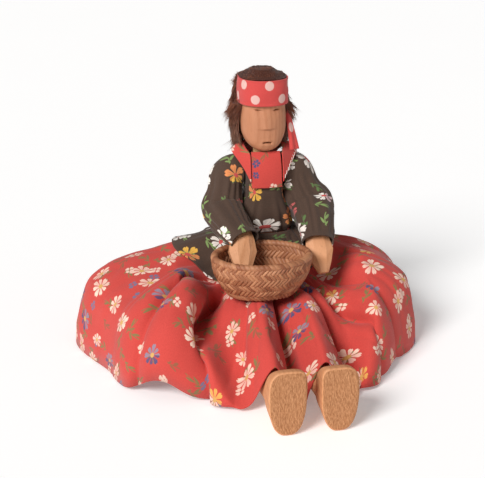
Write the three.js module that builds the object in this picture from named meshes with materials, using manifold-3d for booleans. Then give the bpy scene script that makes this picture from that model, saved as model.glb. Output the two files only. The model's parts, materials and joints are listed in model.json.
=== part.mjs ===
// A seated carved wooden doll in calico clothes, holding a plaited basket in its lap.
// Millimetres, +Z up, facing -Y. The origin is on the seat, under the neck.
// Side -1 is the doll's right, which is on the left when it is seen from the front.
import * as THREE from "three";
import { mergeVertices } from "three/addons/utils/BufferGeometryUtils.js";
import Module from "manifold-3d";

const wasm = await Module();
wasm.setup();

// Fits
const gap = 0.3; // between pieces that bear or turn on each other
const ease = 0.5; // between a garment and what it is worn over
const cloth = 1.0; // thickness of a garment with its hem and lining
const sides = [
  ["right", -1],
  ["left", 1],
];

// Heights of the body, from the seat up
const hipHeight = 13;
const waistHeight = 68;
const waistToShoulder = 36;
const shoulderToTop = 9;
const neckLength = 5.5; // from the torso to the chin
const headHeight = 42;
const shoulderHeight = waistHeight + waistToShoulder;
const torsoTop = shoulderHeight + shoulderToTop;
const chinHeight = torsoTop + neckLength;
const crownHeight = chinHeight + headHeight;

// Torso
const seatHalfWidth = 21;
const seatBack = 21;
const tongueFront = 9; // how far the hip tongue reaches in front of the hip
const tongueHalfWidth = 4.5;
const waistHalfWidth = 15;
const waistHalfDepth = 11.5;
const chestHalfWidth = 9.6;
const chestFront = 14.4;
const chestBack = 11.2;
const shoulderBoss = 6; // from the chest out to the face that the arm turns on
const shoulderHalfSpan = chestHalfWidth + shoulderBoss;
const shoulderBossRadius = 6;

// Legs, each carved in one piece from the hip to the sole
const thighWidth = 18;
const thighRadius = 9.5;
const kneeReach = 62; // from the hip, along the leg
const kneeHalfHeight = 8;
const ankleReach = 107;
const ankleHalfWidth = 6.4;
const ankleHalfHeight = 7;
const ankleRise = 3; // of the ankle's underside above the heel
const soleReach = 134;
const soleLength = 36;
const soleHalfWidth = 10;
const ballShare = 0.62; // how far up the sole is widest
const innerToeSquareness = 6;
const outerToeSquareness = 3.2; // the small toes' corner is cut back
const heelSquareness = 2.5;
const hipDowelRadius = 3;

// Arms
const armThickness = 8;
const armHalfDepth = 4.8;
const upperArmLength = 24; // shoulder pin to elbow pin
const forearmLength = 25; // elbow pin to wrist
const handLength = 23;
const wristHalfWidth = 6.4;
const handHalfWidth = 8;
const handHalfThickness = 3.6;
const tongueThickness = 3; // of the elbow's tenon
const elbowPinRadius = 1.3;
const shoulderPegRadius = 2;
const shoulderPegHead = 3.4;
const armPose = {
  right: { splay: 5, swing: 24, bend: 48, turnIn: 18, elbowOut: 1.5, wristDrop: 36 },
  left: { splay: 5, swing: 24, bend: 40, turnIn: 3, elbowOut: 3.8, wristDrop: 30 },
};

// Neck and head
const neckRadius = 5;
const neckSocketDepth = 15;
const headSocketDepth = 12;
const headHalfWidth = 13.3; // at the jaw
const headFront = 16.5;
const headBack = 11.5;
const browHalfWidth = 11.6; // under the headband
const noseProud = 1.5;

// Hair and headband
const furThickness = 5.8;
const hairRise = 2.1; // of the fur's ends above the chin
const bandRise = 26.5; // of the headband's lower edge above the chin
const bandHeight = 14.5;
const hairHem = chinHeight + hairRise;
const bandBottom = chinHeight + bandRise;
const bandTop = bandBottom + bandHeight;
const bandThickness = 1;
const bandEnd = 4; // how far back the band reaches on both sides
const faceOpening = 9.4; // half width of the face between the locks, at the brow
const tailLength = 24;
const tailWidth = 7.6;
const tailLean = 3.5; // how far its end hangs out from the cheek

// Sleeves
const sleeveRadius = armHalfDepth + 4.2;
const shoulderPuff = 1; // extra fullness where the sleeve turns over the shoulder
const sleeveElbowRadius = 11.2;
const cuffRadius = 9.2;
const cuffHalfHeight = 6.4;
const cuffReach = 23; // from the elbow's pin to the cuff's edge
const armholeInset = shoulderBoss - ease - cloth - 3 * gap; // from the arm's bearing face to the armhole

// Bodice, collar and bib
const blousing = 1.6; // fullness of the bodice above the waist
const collarTipReach = 21;
const collarTipRise = 12; // above the shoulder's pin, over the sleeve
const collarFrontDrop = 3.5; // of the front points below the pin
const collarBackDrop = 5;
const collarTipHeight = shoulderHeight + collarTipRise;
const collarFrontHem = shoulderHeight - collarFrontDrop;
const collarBackHem = shoulderHeight - collarBackDrop;
const collarOpening = 9.3; // half width of the opening that the bib fills
const bibDrop = 7;
const bibHem = shoulderHeight - bibDrop;
const bibTop = chinHeight - 4 * gap;

// Skirt
const hemLeft = 98;
const hemRight = 116; // the doll's right, where the skirt is spread wider
const hemFront = 106;
const hemBack = 92;
const hemSquareness = 3; // how far the hem pulls in between its four sides
const hemHeight = 0.4;
const lapDrop = 23; // of the lap below the waist
const lapHeight = waistHeight - lapDrop;
const lapHalfWidth = 32; // of the part that the legs hold up
const lapBlend = 24; // from there out to the part that is spread on the floor
const lapStart = 4; // how far in front of the waist the lap begins
const lapRun = 20; // from there to its full width
const legRidgeRun = 18; // from the top of a leg down its outer side
const ankleHemHeight = 25;
const valleyHemHeight = 4;
const swellCount = 9;
const swellDepth = 3.2;
const hemTuck = 5; // how far the hem curls in at the sides and the back
const hemLifts = [
  { atDegrees: 228, rise: 11.5, spreadDegrees: 8 },
  { atDegrees: 313, rise: 5, spreadDegrees: 7 },
  { atDegrees: 100, rise: 4, spreadDegrees: 12 },
];
const coneRise = 3.5; // of the large fold beside the right leg
// The creases between the folds: where each runs, near the waist, half way and at the hem, and how deep it is.
const creaseReaches = [0.3, 0.6, 1];
const creases = [
  { degrees: [4, 4, 4], depth: 2.2 },
  { degrees: [24, 23, 22], depth: 4.5 },
  { degrees: [42, 43, 44], depth: 3 },
  { degrees: [64, 63, 62], depth: 5 },
  { degrees: [84, 85, 87], depth: 3.4 },
  { degrees: [106, 105, 103], depth: 5.2 },
  { degrees: [126, 126, 127], depth: 3.4 },
  { degrees: [146, 145, 143], depth: 4.8 },
  { degrees: [166, 165, 164], depth: 2.4 },
  { degrees: [202, 205, 206], depth: 2.4 },
  { degrees: [213, 217.5, 220], depth: 6 },
  { degrees: [226, 235, 241], depth: 12 },
  { degrees: [249, 250, 251], depth: 2.6 },
  { degrees: [260, 261, 262], depth: 0 },
  { degrees: [268, 269.5, 270.5], depth: 8 },
  { degrees: [278, 278, 278], depth: 0 },
  { degrees: [289, 294, 292], depth: 7.5 },
  { degrees: [302, 304, 304], depth: 5.5 },
  { degrees: [319, 319, 319], depth: 3.2 },
  { degrees: [341, 341, 341], depth: 2.4 },
];

// Peplum of the blouse: how far it reaches from the waist to the skirt's hem, as a share of that way
const peplumRight = 0.37;
const peplumLeft = 0.26;
const peplumFront = 0.12;
const peplumBack = 0.3;

// Basket
const basketCentre = { x: -9.8, y: -48.5 };
const basketRimHalf = { x: 27.6, y: 21.6 };
const basketBaseHalf = { x: 18, y: 12.5 };
const basketHeight = 23.5;
const basketWall = 1.9;

// Colours
const wood = finish(0xd9a47a, 0.7);
const dowelWood = finish(0xcaa274, 0.75);
const fur = finish(0x5a3320, 0.95);
const redCalico = finish(0xd8463f, 0.9);
const darkCalico = finish(0x3b2d27, 0.9);
const dottedRed = finish(0xdb403f, 0.9);
const splint = finish(0xc08a5c, 0.8);

function finish(color, roughness) {
  return new THREE.MeshStandardMaterial({ color, roughness, metalness: 0 });
}

// Small maths
const lerp = THREE.MathUtils.lerp;
const radians = THREE.MathUtils.degToRad;
const smooth = THREE.MathUtils.smoothstep;
const point = (x, y, z) => new THREE.Vector3(x, y, z);

// A closed geometry as a solid, whichever way its faces were listed.
function solidOf(geometry) {
  const bare = new THREE.BufferGeometry();
  bare.setAttribute("position", geometry.getAttribute("position"));
  bare.setIndex(geometry.index);
  const merged = mergeVertices(bare, 1e-4);
  const vertProperties = merged.getAttribute("position").array;
  const triVerts = new Uint32Array(merged.index.array);
  const made = new wasm.Manifold(new wasm.Mesh({ numProp: 3, vertProperties, triVerts }));
  if (made.volume() > 0) return made;
  return new wasm.Manifold(new wasm.Mesh({ numProp: 3, vertProperties, triVerts: triVerts.reverse() }));
}

function geometryOf(solid) {
  const { numProp, vertProperties, triVerts } = solid.getMesh();
  const positions = new Float32Array((vertProperties.length / numProp) * 3);
  for (let i = 0; i < positions.length / 3; i++)
    positions.set(vertProperties.subarray(i * numProp, i * numProp + 3), i * 3);
  const geometry = new THREE.BufferGeometry();
  geometry.setAttribute("position", new THREE.BufferAttribute(positions, 3));
  geometry.setIndex(new THREE.BufferAttribute(triVerts, 1));
  const flat = geometry.toNonIndexed();
  flat.computeVertexNormals();
  return flat;
}

function piece(parent, name, solid, material) {
  const mesh = new THREE.Mesh(geometryOf(solid), material);
  mesh.name = name;
  parent.add(mesh);
  return mesh;
}

// Joins a list of equal rings of points into one closed skin. A loop joins the last ring to the first,
// and otherwise both end rings are capped.
function loft(rings, loop = false) {
  const count = rings[0].length;
  const positions = rings.flat().flatMap((p) => [p.x, p.y, p.z]);
  const index = [];
  const bands = loop ? rings.length : rings.length - 1;
  for (let r = 0; r < bands; r++) {
    const low = r * count;
    const high = ((r + 1) % rings.length) * count;
    for (let i = 0; i < count; i++) {
      const j = (i + 1) % count;
      index.push(low + i, low + j, high + j, low + i, high + j, high + i);
    }
  }
  if (!loop) {
    [0, rings.length - 1].forEach((r, end) => {
      const centre = rings[r].reduce((sum, p) => sum.add(p), point(0, 0, 0)).divideScalar(count);
      const middle = positions.length / 3;
      positions.push(centre.x, centre.y, centre.z);
      for (let i = 0; i < count; i++) {
        const a = r * count + i;
        const b = r * count + ((i + 1) % count);
        index.push(middle, end ? a : b, end ? b : a);
      }
    });
  }
  const geometry = new THREE.BufferGeometry();
  geometry.setAttribute("position", new THREE.Float32BufferAttribute(positions, 3));
  geometry.setIndex(index);
  return solidOf(geometry);
}

// A garment of even thickness under the surface at(u, v), u and v from 0 to 1. Its u is a full turn, or runs
// between two free edges.
function garment(at, uSteps, vSteps, thickness, fullTurn = true) {
  const columns = fullTurn ? uSteps : uSteps + 1;
  const step = 1e-3;
  const outer = [];
  const inner = [];
  for (let j = 0; j < vSteps.length; j++) {
    for (let i = 0; i < columns; i++) {
      const u = i / uSteps;
      const v = vSteps[j];
      const here = at(u, v);
      const along = at(u + step, v).sub(at(u - step, v));
      const down = at(u, Math.min(1, v + step)).sub(at(u, Math.max(0, v - step)));
      outer.push(here);
      inner.push(here.clone().addScaledVector(along.cross(down).normalize(), thickness));
    }
  }
  const positions = [...outer, ...inner].flatMap((p) => [p.x, p.y, p.z]);
  const back = outer.length;
  const index = [];
  const quad = (a, b, c, d) => index.push(a, b, c, a, c, d);
  for (let j = 0; j + 1 < vSteps.length; j++) {
    for (let i = 0; i < uSteps; i++) {
      const a = j * columns + i;
      const b = j * columns + ((i + 1) % columns);
      const c = b + columns;
      const d = a + columns;
      quad(d, c, b, a);
      quad(back + b, back + c, back + d, back + a);
      if (j === 0) quad(a, b, back + b, back + a);
      if (j === vSteps.length - 2) quad(c, d, back + d, back + c);
      if (!fullTurn && i === 0) quad(d, a, back + a, back + d);
      if (!fullTurn && i === uSteps - 1) quad(b, c, back + c, back + b);
    }
  }
  const geometry = new THREE.BufferGeometry();
  geometry.setAttribute("position", new THREE.Float32BufferAttribute(positions, 3));
  geometry.setIndex(index);
  return solidOf(geometry);
}

// A level ring with rounded sides, from a half width, a front and a back.
function levelRing({ halfWidth, front, back }, z, count, grow = 0, squareness = 2.6) {
  const ring = [];
  const centre = (back - front) / 2;
  const halfDepth = (back + front) / 2 + grow;
  const power = 2 / squareness;
  const rounded = (value) => Math.sign(value) * Math.abs(value) ** power;
  for (let i = 0; i < count; i++) {
    const angle = (2 * Math.PI * i) / count;
    const x = (halfWidth + grow) * rounded(Math.cos(angle));
    ring.push(point(x, centre + halfDepth * rounded(Math.sin(angle)), z));
  }
  return ring;
}

// A round bar or bore along local X, from one x to another.
function barAlongX(radius, from, to, y, z, segments = 24) {
  const bar = new THREE.CylinderGeometry(radius, radius, to - from, segments);
  bar.rotateZ(Math.PI / 2).translate((from + to) / 2, y, z);
  return solidOf(bar);
}

function upright(radius, from, to, segments = 24) {
  const bar = new THREE.CylinderGeometry(radius, radius, to - from, segments);
  bar.rotateX(Math.PI / 2).translate(0, 0, (from + to) / 2);
  return solidOf(bar);
}

// A flat outline in Y and Z, as thick as from and to along X.
function plateAcrossX(outline, from, to, curveSegments = 10) {
  const plate = new THREE.ExtrudeGeometry(outline, { depth: to - from, bevelEnabled: false, curveSegments });
  const turn = new THREE.Matrix4().makeBasis(point(0, 1, 0), point(0, 0, 1), point(1, 0, 0));
  plate.applyMatrix4(turn).translate(from, 0, 0);
  return solidOf(plate);
}

function placed(solid, matrix) {
  const geometry = geometryOf(solid);
  geometry.applyMatrix4(matrix);
  return solidOf(geometry);
}

const doll = new THREE.Group();

// Torso: its section at a height, from the seat to the top of the shoulders.
const hipCutTop = hipHeight + thighRadius + gap;
const torsoStations = [
  [0, seatHalfWidth, tongueFront, seatBack],
  [hipCutTop + 3, seatHalfWidth, tongueFront, seatBack],
  [(hipCutTop + waistHeight) / 2, (seatHalfWidth + waistHalfWidth) / 2 + 1, tongueFront, waistHalfDepth + 4],
  [waistHeight, waistHalfWidth, waistHalfDepth, waistHalfDepth],
  [shoulderHeight - 12, chestHalfWidth, chestFront, chestBack],
  [shoulderHeight, chestHalfWidth, chestFront, chestBack],
  [torsoTop - 3, chestHalfWidth - 1.4, chestFront - 3, chestBack - 1.5],
  [torsoTop, chestHalfWidth - 4, chestFront - 7, chestBack - 3.5],
];

function torsoSection(z) {
  let k = torsoStations.findIndex((station) => station[0] >= z);
  k = k < 0 ? torsoStations.length - 1 : Math.max(1, k);
  const [low, high] = [torsoStations[k - 1], torsoStations[k]];
  const share = THREE.MathUtils.clamp((z - low[0]) / (high[0] - low[0]), 0, 1);
  const [halfWidth, front, back] = [1, 2, 3].map((i) => lerp(low[i], high[i], share));
  return { halfWidth, front, back };
}

// Where each arm turns: on the splayed face of the shoulder.
function shoulderMatrix(side, splay) {
  const mirror = new THREE.Matrix4().makeScale(side, 1, 1);
  const lean = new THREE.Matrix4().makeRotationY(-radians(splay));
  return mirror.setPosition(side * shoulderHalfSpan, 0, shoulderHeight).multiply(lean);
}

const pegDepth = 9; // of a shoulder peg in the torso
const bodySides = 36; // facets round the body and the bodice

function torso() {
  let body = loft(torsoStations.map(([z]) => levelRing(torsoSection(z), z, bodySides, 0, 3.2)));
  const cheek = new THREE.Shape();
  const reach = thighRadius + gap;
  cheek.moveTo(-2 * seatBack, -1);
  cheek.lineTo(reach, -1);
  cheek.lineTo(reach, hipHeight);
  cheek.absarc(0, hipHeight, reach, 0, Math.PI / 2, false);
  cheek.lineTo(-2 * seatBack, hipHeight + reach);
  for (const [name, side] of sides) {
    const outside = side * (seatHalfWidth + thighWidth);
    const inside = side * tongueHalfWidth;
    body = body.subtract(plateAcrossX(cheek, Math.min(inside, outside), Math.max(inside, outside)));
    const shoulder = shoulderMatrix(side, armPose[name].splay);
    body = body.add(placed(barAlongX(shoulderBossRadius, -pegDepth, 0, 0, 0), shoulder));
    body = body.subtract(placed(barAlongX(shoulderPegRadius + gap, -pegDepth - gap, 1, 0, 0), shoulder));
  }
  body = body.subtract(barAlongX(hipDowelRadius + gap, -seatHalfWidth, seatHalfWidth, 0, hipHeight));
  return body.subtract(upright(neckRadius + gap, torsoTop - neckSocketDepth - gap, torsoTop + 1));
}

piece(doll, "torso", torso(), wood);

// Legs: a disc at the hip, a tapering shank and a foot that widens to a flat sole.
const legCentre = tongueHalfWidth + gap + thighWidth / 2;
const hipDowelHalfLength = tongueHalfWidth + gap + thighWidth - 1;

function crossRing(reach, halfWidth, low, widest, high, corners, side) {
  const ring = [];
  const count = 20;
  for (let i = 0; i < count; i++) {
    const angle = (2 * Math.PI * i) / count;
    const c = Math.cos(angle);
    const s = Math.sin(angle);
    const toe = c * side > 0 ? corners.toeOutside : corners.toeInside;
    const power = 2 / (s > 0 ? toe : corners.heel);
    const x = halfWidth * Math.sign(c) * Math.abs(c) ** power;
    const z = widest + Math.abs(s) ** power * (s > 0 ? high - widest : low - widest);
    ring.push(point(x, -reach, z));
  }
  return ring;
}

function legRing(reach, halfWidth, low, high, squareness) {
  const middle = (low + high) / 2;
  const corners = { toeInside: squareness, toeOutside: squareness, heel: squareness };
  return crossRing(reach, halfWidth, low, middle, high, corners, 1);
}

// A section of the foot: a wide, nearly straight toe edge and a narrow round heel.
function footRing(reach, halfWidth, low, high, side) {
  const ball = lerp(low, high, ballShare);
  const corners = { toeInside: innerToeSquareness, toeOutside: outerToeSquareness, heel: heelSquareness };
  return crossRing(reach, halfWidth, low, ball, high, corners, side);
}

function leg(side) {
  const thighHalf = thighWidth / 2;
  const kneeHalfWidth = (thighHalf + ankleHalfWidth) / 2 + 0.4;
  const ankleTop = ankleRise + 2 * ankleHalfHeight;
  const kneeCentre = (hipHeight + ankleRise + ankleHalfHeight) / 2;
  const [kneeLow, kneeHigh] = [kneeCentre - kneeHalfHeight, kneeCentre + kneeHalfHeight];
  const foot = soleReach - ankleReach;
  // A section part way from the ankle to the sole, and how far it has widened, sunk and risen by then.
  const instep = (share, wider, lower, higher) => {
    const halfWidth = lerp(ankleHalfWidth, soleHalfWidth, wider);
    const high = lerp(ankleTop, soleLength, higher);
    return footRing(ankleReach + share * foot, halfWidth, ankleRise * (1 - lower), high, side);
  };
  const edge = 0.8; // of the rounded rim of the sole
  const shank = loft([
    legRing(0, thighHalf, hipHeight - thighRadius, hipHeight + thighRadius, 3.4),
    legRing(14, thighHalf, hipHeight - thighRadius, hipHeight + thighRadius, 3),
    legRing(kneeReach - 12, kneeHalfWidth, kneeLow, kneeHigh, 2.4),
    legRing(kneeReach, kneeHalfWidth + 0.3, kneeLow, kneeHigh + 0.6, 2.4),
    legRing(kneeReach + 18, kneeHalfWidth, kneeLow, kneeHigh - 0.6, 2.3),
    legRing(ankleReach, ankleHalfWidth, ankleRise, ankleTop, 2.2),
    instep(0.3, 0.6, 0.1, 0.42),
    instep(0.55, 0.8, 0.4, 0.78),
    instep(0.78, 0.92, 0.75, 0.95),
    footRing(soleReach - edge, soleHalfWidth, 0, soleLength, side),
    footRing(soleReach, soleHalfWidth - edge, edge, soleLength - edge, side),
  ]);
  const disc = barAlongX(thighRadius, -thighHalf, thighHalf, 0, hipHeight, 28);
  const bore = barAlongX(hipDowelRadius + gap, -thighWidth, thighWidth, 0, hipHeight);
  return shank.add(disc).subtract(bore);
}

for (const [name, side] of sides) {
  const placedLeg = piece(doll, `leg_${name}`, leg(side), wood);
  placedLeg.position.x = side * legCentre;
}
const hipDowel = barAlongX(hipDowelRadius, -hipDowelHalfLength, hipDowelHalfLength, 0, hipHeight);
piece(doll, "hip_dowel", hipDowel, dowelWood);

// Arms, each modelled hanging from the shoulder with local X along the shoulder's pin, away from the body.
const armMiddle = gap + armThickness / 2;
const elbowRadius = armHalfDepth - 0.2;

// The upper arm: a disc on the shoulder's face, leaning out to a straight fork at the elbow.
function upperArm(elbowOut) {
  const forkTop = -upperArmLength + elbowRadius + 1.4;
  const from = gap;
  const to = gap + armThickness;
  const disc = new THREE.Shape();
  disc.absarc(0, 0, armHalfDepth, 0, Math.PI, false);
  disc.lineTo(-armHalfDepth, -armHalfDepth);
  disc.lineTo(armHalfDepth, -armHalfDepth);
  const fork = new THREE.Shape();
  fork.absarc(0, -upperArmLength, elbowRadius, Math.PI, 2 * Math.PI, false);
  fork.lineTo(elbowRadius, forkTop);
  fork.lineTo(-elbowRadius, forkTop);
  const across = (z, out, halfDepth) => [
    point(from + out, -halfDepth, z),
    point(to + out, -halfDepth, z),
    point(to + out, halfDepth, z),
    point(from + out, halfDepth, z),
  ];
  const shank = loft([across(-armHalfDepth, 0, armHalfDepth), across(forkTop, elbowOut, elbowRadius)]);
  let arm = plateAcrossX(disc, from, to).add(shank).add(plateAcrossX(fork, from + elbowOut, to + elbowOut));
  const slotHalf = tongueThickness / 2 + gap;
  const slotTop = -upperArmLength + elbowRadius + 2 * gap;
  const slot = new THREE.BoxGeometry(2 * slotHalf, 4 * armHalfDepth, 4 * elbowRadius);
  slot.translate(armMiddle + elbowOut, 0, slotTop - 2 * elbowRadius);
  arm = arm.subtract(solidOf(slot));
  arm = arm.subtract(barAlongX(shoulderPegRadius + gap, -1, 2 * armThickness, 0, 0));
  return arm.subtract(barAlongX(elbowPinRadius + gap, -1, 3 * armThickness, 0, -upperArmLength, 16));
}

// An eight-sided whittled section, square to the limb.
function whittled(centre, halfWidth, halfDepth, tilt, inset = 0.45) {
  const corners = [];
  for (const [sx, sy] of [[1, -1], [1, 1], [-1, 1], [-1, -1]]) {
    const wide = point(sx * halfWidth, sy * halfDepth * inset, 0);
    const deep = point(sx * halfWidth * inset, sy * halfDepth, 0);
    corners.push(...(sx * sy > 0 ? [wide, deep] : [deep, wide]));
  }
  return corners.map((p) => p.applyAxisAngle(point(1, 0, 0), tilt).add(centre));
}

const tenonEnd = elbowRadius + 2.6; // where the forearm's full section starts, clear of the fork

// Forearm and hand in one piece, from the elbow's tenon at the origin, hanging along -Z.
function forearm(wristDrop, turnIn) {
  const drop = radians(wristDrop);
  const hand = point(0, Math.sin(drop), -Math.cos(drop));
  const along = (share) => point(0, 0, -forearmLength).addScaledVector(hand, share * handLength);
  const rings = [
    whittled(point(0, 0, -tenonEnd), armThickness / 2, elbowRadius - 1.6, 0),
    whittled(point(0, 0, -tenonEnd - 5), armThickness / 2 + 0.4, armHalfDepth - 0.6, 0),
    whittled(point(0, 0, -forearmLength + 3), wristHalfWidth, handHalfThickness + 0.5, drop * 0.3),
    whittled(along(0.1), wristHalfWidth + 0.4, handHalfThickness + 0.3, drop),
    whittled(along(0.42), handHalfWidth, handHalfThickness, drop),
    whittled(along(0.75), handHalfWidth * 0.68, handHalfThickness * 0.8, drop),
    whittled(along(1), handHalfWidth * 0.36, handHalfThickness * 0.5, drop),
  ];
  const lean = Math.tan(radians(turnIn));
  for (const p of rings.flat()) p.x -= lean * Math.max(0, Math.min(-p.z, forearmLength) - tenonEnd);
  const tenon = new THREE.Shape();
  tenon.absarc(0, 0, elbowRadius - gap, 0, Math.PI, false);
  tenon.lineTo(-elbowRadius + 2, -tenonEnd - 2);
  tenon.lineTo(elbowRadius - 2, -tenonEnd - 2);
  const tongue = plateAcrossX(tenon, -tongueThickness / 2, tongueThickness / 2);
  const pinHole = barAlongX(elbowPinRadius + gap, -armThickness, armThickness, 0, 0, 16);
  return loft(rings).add(tongue).subtract(pinHole);
}

// A sleeve over the hanging arm, from its armhole round the shoulder's pin to the cuff at the wrist.
function sleeve(pose) {
  const bend = radians(pose.bend);
  const lean = Math.tan(radians(pose.turnIn));
  const armpit = sleeveRadius + 0.7; // from the pin down to the line that the shoulder folds about
  const folds = 6;
  const fan = 4;
  const onForearm = (reach) => {
    const inward = lean * Math.max(0, reach - tenonEnd);
    const x = armMiddle + pose.elbowOut - inward;
    return point(x, -Math.sin(bend) * reach, -upperArmLength - Math.cos(bend) * reach);
  };
  const fanEnd = point(armpit - armholeInset, 0, -armpit);
  const elbowPuff = point(armMiddle + pose.elbowOut + 2.2, 1, -upperArmLength + 1);
  const path = new THREE.CatmullRomCurve3([
    fanEnd,
    elbowPuff,
    onForearm(0.55 * cuffReach).add(point(1.5, 0.5, 0.5)),
    onForearm(cuffReach),
  ]);
  const radiusAt = (share) => {
    const toElbow = lerp(sleeveRadius, sleeveElbowRadius, smooth(share, 0, 0.4));
    return lerp(toElbow, cuffRadius, smooth(share, 0.45, 1));
  };
  const at = (u, v) => {
    const turn = 2 * Math.PI * u;
    const share = v * (fan + folds);
    let centre;
    let tangent;
    let outward;
    let radius = sleeveRadius;
    if (share <= fan) {
      const lift = (share / fan) * (Math.PI / 2);
      tangent = point(Math.cos(lift), 0, -Math.sin(lift));
      outward = point(Math.sin(lift), 0, Math.cos(lift));
      const puff = shoulderPuff * Math.sin(2 * lift);
      radius += puff;
      centre = point(-armholeInset, 0, -armpit).addScaledVector(outward, armpit + puff);
    } else {
      const way = (share - fan) / folds;
      centre = path.getPoint(way);
      tangent = point(0, 0, -1).lerp(path.getTangent(way), smooth(way, 0, 0.3)).normalize();
      outward = point(1, 0, 0).addScaledVector(tangent, -tangent.x).normalize();
      radius = radiusAt(way) * (1 + 0.05 * Math.sin(3 * turn + 5 * way) * Math.sin(Math.PI * way));
    }
    const flat = lerp(1, cuffHalfHeight / cuffRadius, smooth(share, fan + 0.5 * folds, fan + folds));
    const forward = outward.clone().cross(tangent);
    return centre
      .addScaledVector(outward, radius * Math.cos(turn))
      .addScaledVector(forward, flat * radius * Math.sin(turn));
  };
  const rows = Array.from({ length: fan + folds + 1 }, (_, j) => j / (fan + folds));
  return garment(at, 24, rows, cloth);
}

for (const [name, side] of sides) {
  const pose = armPose[name];
  const shoulder = new THREE.Group();
  shoulder.scale.x = side;
  shoulder.position.set(side * shoulderHalfSpan, 0, shoulderHeight);
  const splay = new THREE.Group();
  splay.name = `shoulder_${name}_frame`;
  splay.rotation.y = -radians(pose.splay);
  const swing = new THREE.Group();
  swing.rotation.x = -radians(pose.swing);
  const elbow = new THREE.Group();
  elbow.name = `elbow_${name}_frame`;
  elbow.position.set(armMiddle + pose.elbowOut, 0, -upperArmLength);
  elbow.rotation.x = -radians(pose.bend);
  doll.add(shoulder);
  shoulder.add(splay);
  splay.add(swing);
  swing.add(elbow);

  const headFace = gap + armThickness + gap;
  const stem = barAlongX(shoulderPegRadius, -pegDepth, headFace + 1.6, 0, 0);
  const pegHead = barAlongX(shoulderPegHead, headFace, headFace + 1.6, 0, 0);
  piece(splay, `shoulder_peg_${name}`, stem.add(pegHead), dowelWood);
  piece(swing, `upper_arm_${name}`, upperArm(pose.elbowOut), wood);
  const pinFrom = gap + pose.elbowOut;
  const pin = barAlongX(elbowPinRadius, pinFrom, pinFrom + armThickness, 0, -upperArmLength, 16);
  piece(swing, `elbow_pin_${name}`, pin, dowelWood);
  piece(elbow, `forearm_hand_${name}`, forearm(pose.wristDrop, pose.turnIn), wood);
  piece(swing, `sleeve_${name}`, sleeve(pose), darkCalico);
}

// Head: a flat-faced egg on a dowel, with a ridged nose and cut eyes and mouth.
const browShare = browHalfWidth / headHalfWidth;
const headStations = [
  [0, 0.52, 0.87, 0.3],
  [0.04, 0.72, 0.95, 0.55],
  [0.11, 0.89, 0.99, 0.76],
  [0.25, 1, 1, 0.92],
  [0.42, 0.98, 1, 0.98],
  [0.6, (1 + browShare) / 2, 0.985, 1],
  [0.8, 0.95 * browShare, 0.93, 0.96],
  [0.94, 0.74 * browShare, 0.76, 0.74],
  [1, 0.45 * browShare, 0.47, 0.42],
];

function headRings(grow) {
  return headStations.map(([share, width, front, back]) => {
    const section = { halfWidth: width * headHalfWidth, front: front * headFront, back: back * headBack };
    const lift = share === 0 ? -grow : share === 1 ? grow : 0;
    return levelRing(section, chinHeight + share * headHeight + lift, 36, grow, 2.5);
  });
}

// A short wedge-shaped knife cut in the face, along X.
function knifeCut(x, z, halfLength, halfHeight, depth, front) {
  const wedge = [-halfLength, 0, halfLength].map((end) => {
    const share = 1 - 0.75 * Math.abs(end / halfLength);
    return [
      point(x + end, -front - 1, z - halfHeight * share),
      point(x + end, -front - 1, z + halfHeight * share),
      point(x + end, -front + depth * share, z),
    ];
  });
  return loft(wedge);
}

function head() {
  const noseTip = chinHeight + 0.317 * headHeight;
  const brow = bandBottom - gap;
  const noseRing = (z, halfWidth, proud) => [
    point(-halfWidth, -headFront + 3, z),
    point(-halfWidth, -headFront + 0.3, z),
    point(0, -headFront - proud, z),
    point(halfWidth, -headFront + 0.3, z),
    point(halfWidth, -headFront + 3, z),
  ];
  let carved = loft(headRings(0)).add(loft([noseRing(noseTip, 2.8, noseProud), noseRing(brow, 1.4, 0)]));
  const mouth = chinHeight + 0.12 * headHeight;
  const eyes = chinHeight + 0.572 * headHeight;
  carved = carved.subtract(knifeCut(0, mouth, 3.4, 0.5, 1.1, headFront - 0.2));
  for (const [, side] of sides)
    carved = carved.subtract(knifeCut(side * 4.4, eyes, 1.8, 0.6, 1.1, headFront - 0.6));
  return carved.subtract(upright(neckRadius + gap, chinHeight - 2, chinHeight + headSocketDepth + gap));
}

const neckDowel = upright(neckRadius, torsoTop - neckSocketDepth, chinHeight + headSocketDepth);
piece(doll, "neck_dowel", neckDowel, dowelWood);
piece(doll, "head", head(), wood);

// Fur hair: a cap on the crown and locks that hang at the sides and back, flattened under the headband.
const furUnderBand = 1;
const pinched = {
  halfWidth: browHalfWidth + gap + furUnderBand,
  front: headFront,
  back: headBack + gap + furUnderBand,
};

function hair() {
  const lock = headHalfWidth + furThickness;
  const nape = headBack + furThickness;
  const stations = [
    [hairHem, lock - 2.4, 6, nape - 2],
    [hairHem + 4, lock - 0.3, 7.5, nape],
    [hairHem + 14, lock, 8, nape],
    [bandBottom + 2, lock - 1, 8, nape],
    [bandTop - 3, lock - 2.2, 9, nape - 1.4],
    [bandTop + gap, browHalfWidth + 3.2, headFront - 1, nape - 3.4],
    [crownHeight, browHalfWidth, headFront - 3.4, headBack + 0.6],
    [crownHeight + 3, browHalfWidth - 4.9, headFront - 9, headBack - 5],
  ];
  const fullRing = ([z, halfWidth, front, back]) => levelRing({ halfWidth, front, back }, z, 36, 0, 2.4);
  const throat = { halfWidth: headHalfWidth - 0.4, front: headFront + 4, back: headBack - 1.2 };
  const underChin = [hairHem - 1, chinHeight + 5].map((z) => levelRing(throat, z, 36, 0, 2.5));
  const faceTop = bandTop + gap;
  const face = new THREE.BoxGeometry(2 * faceOpening, 2 * headFront, faceTop - hairHem + 2);
  face.translate(0, -headFront - headFront * 0.45, (faceTop + hairHem) / 2 - 1);
  const grown = loft(stations.map(fullRing)).subtract(loft(headRings(gap))).subtract(bandRoom());
  return grown.subtract(loft(underChin)).subtract(solidOf(face));
}

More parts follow.
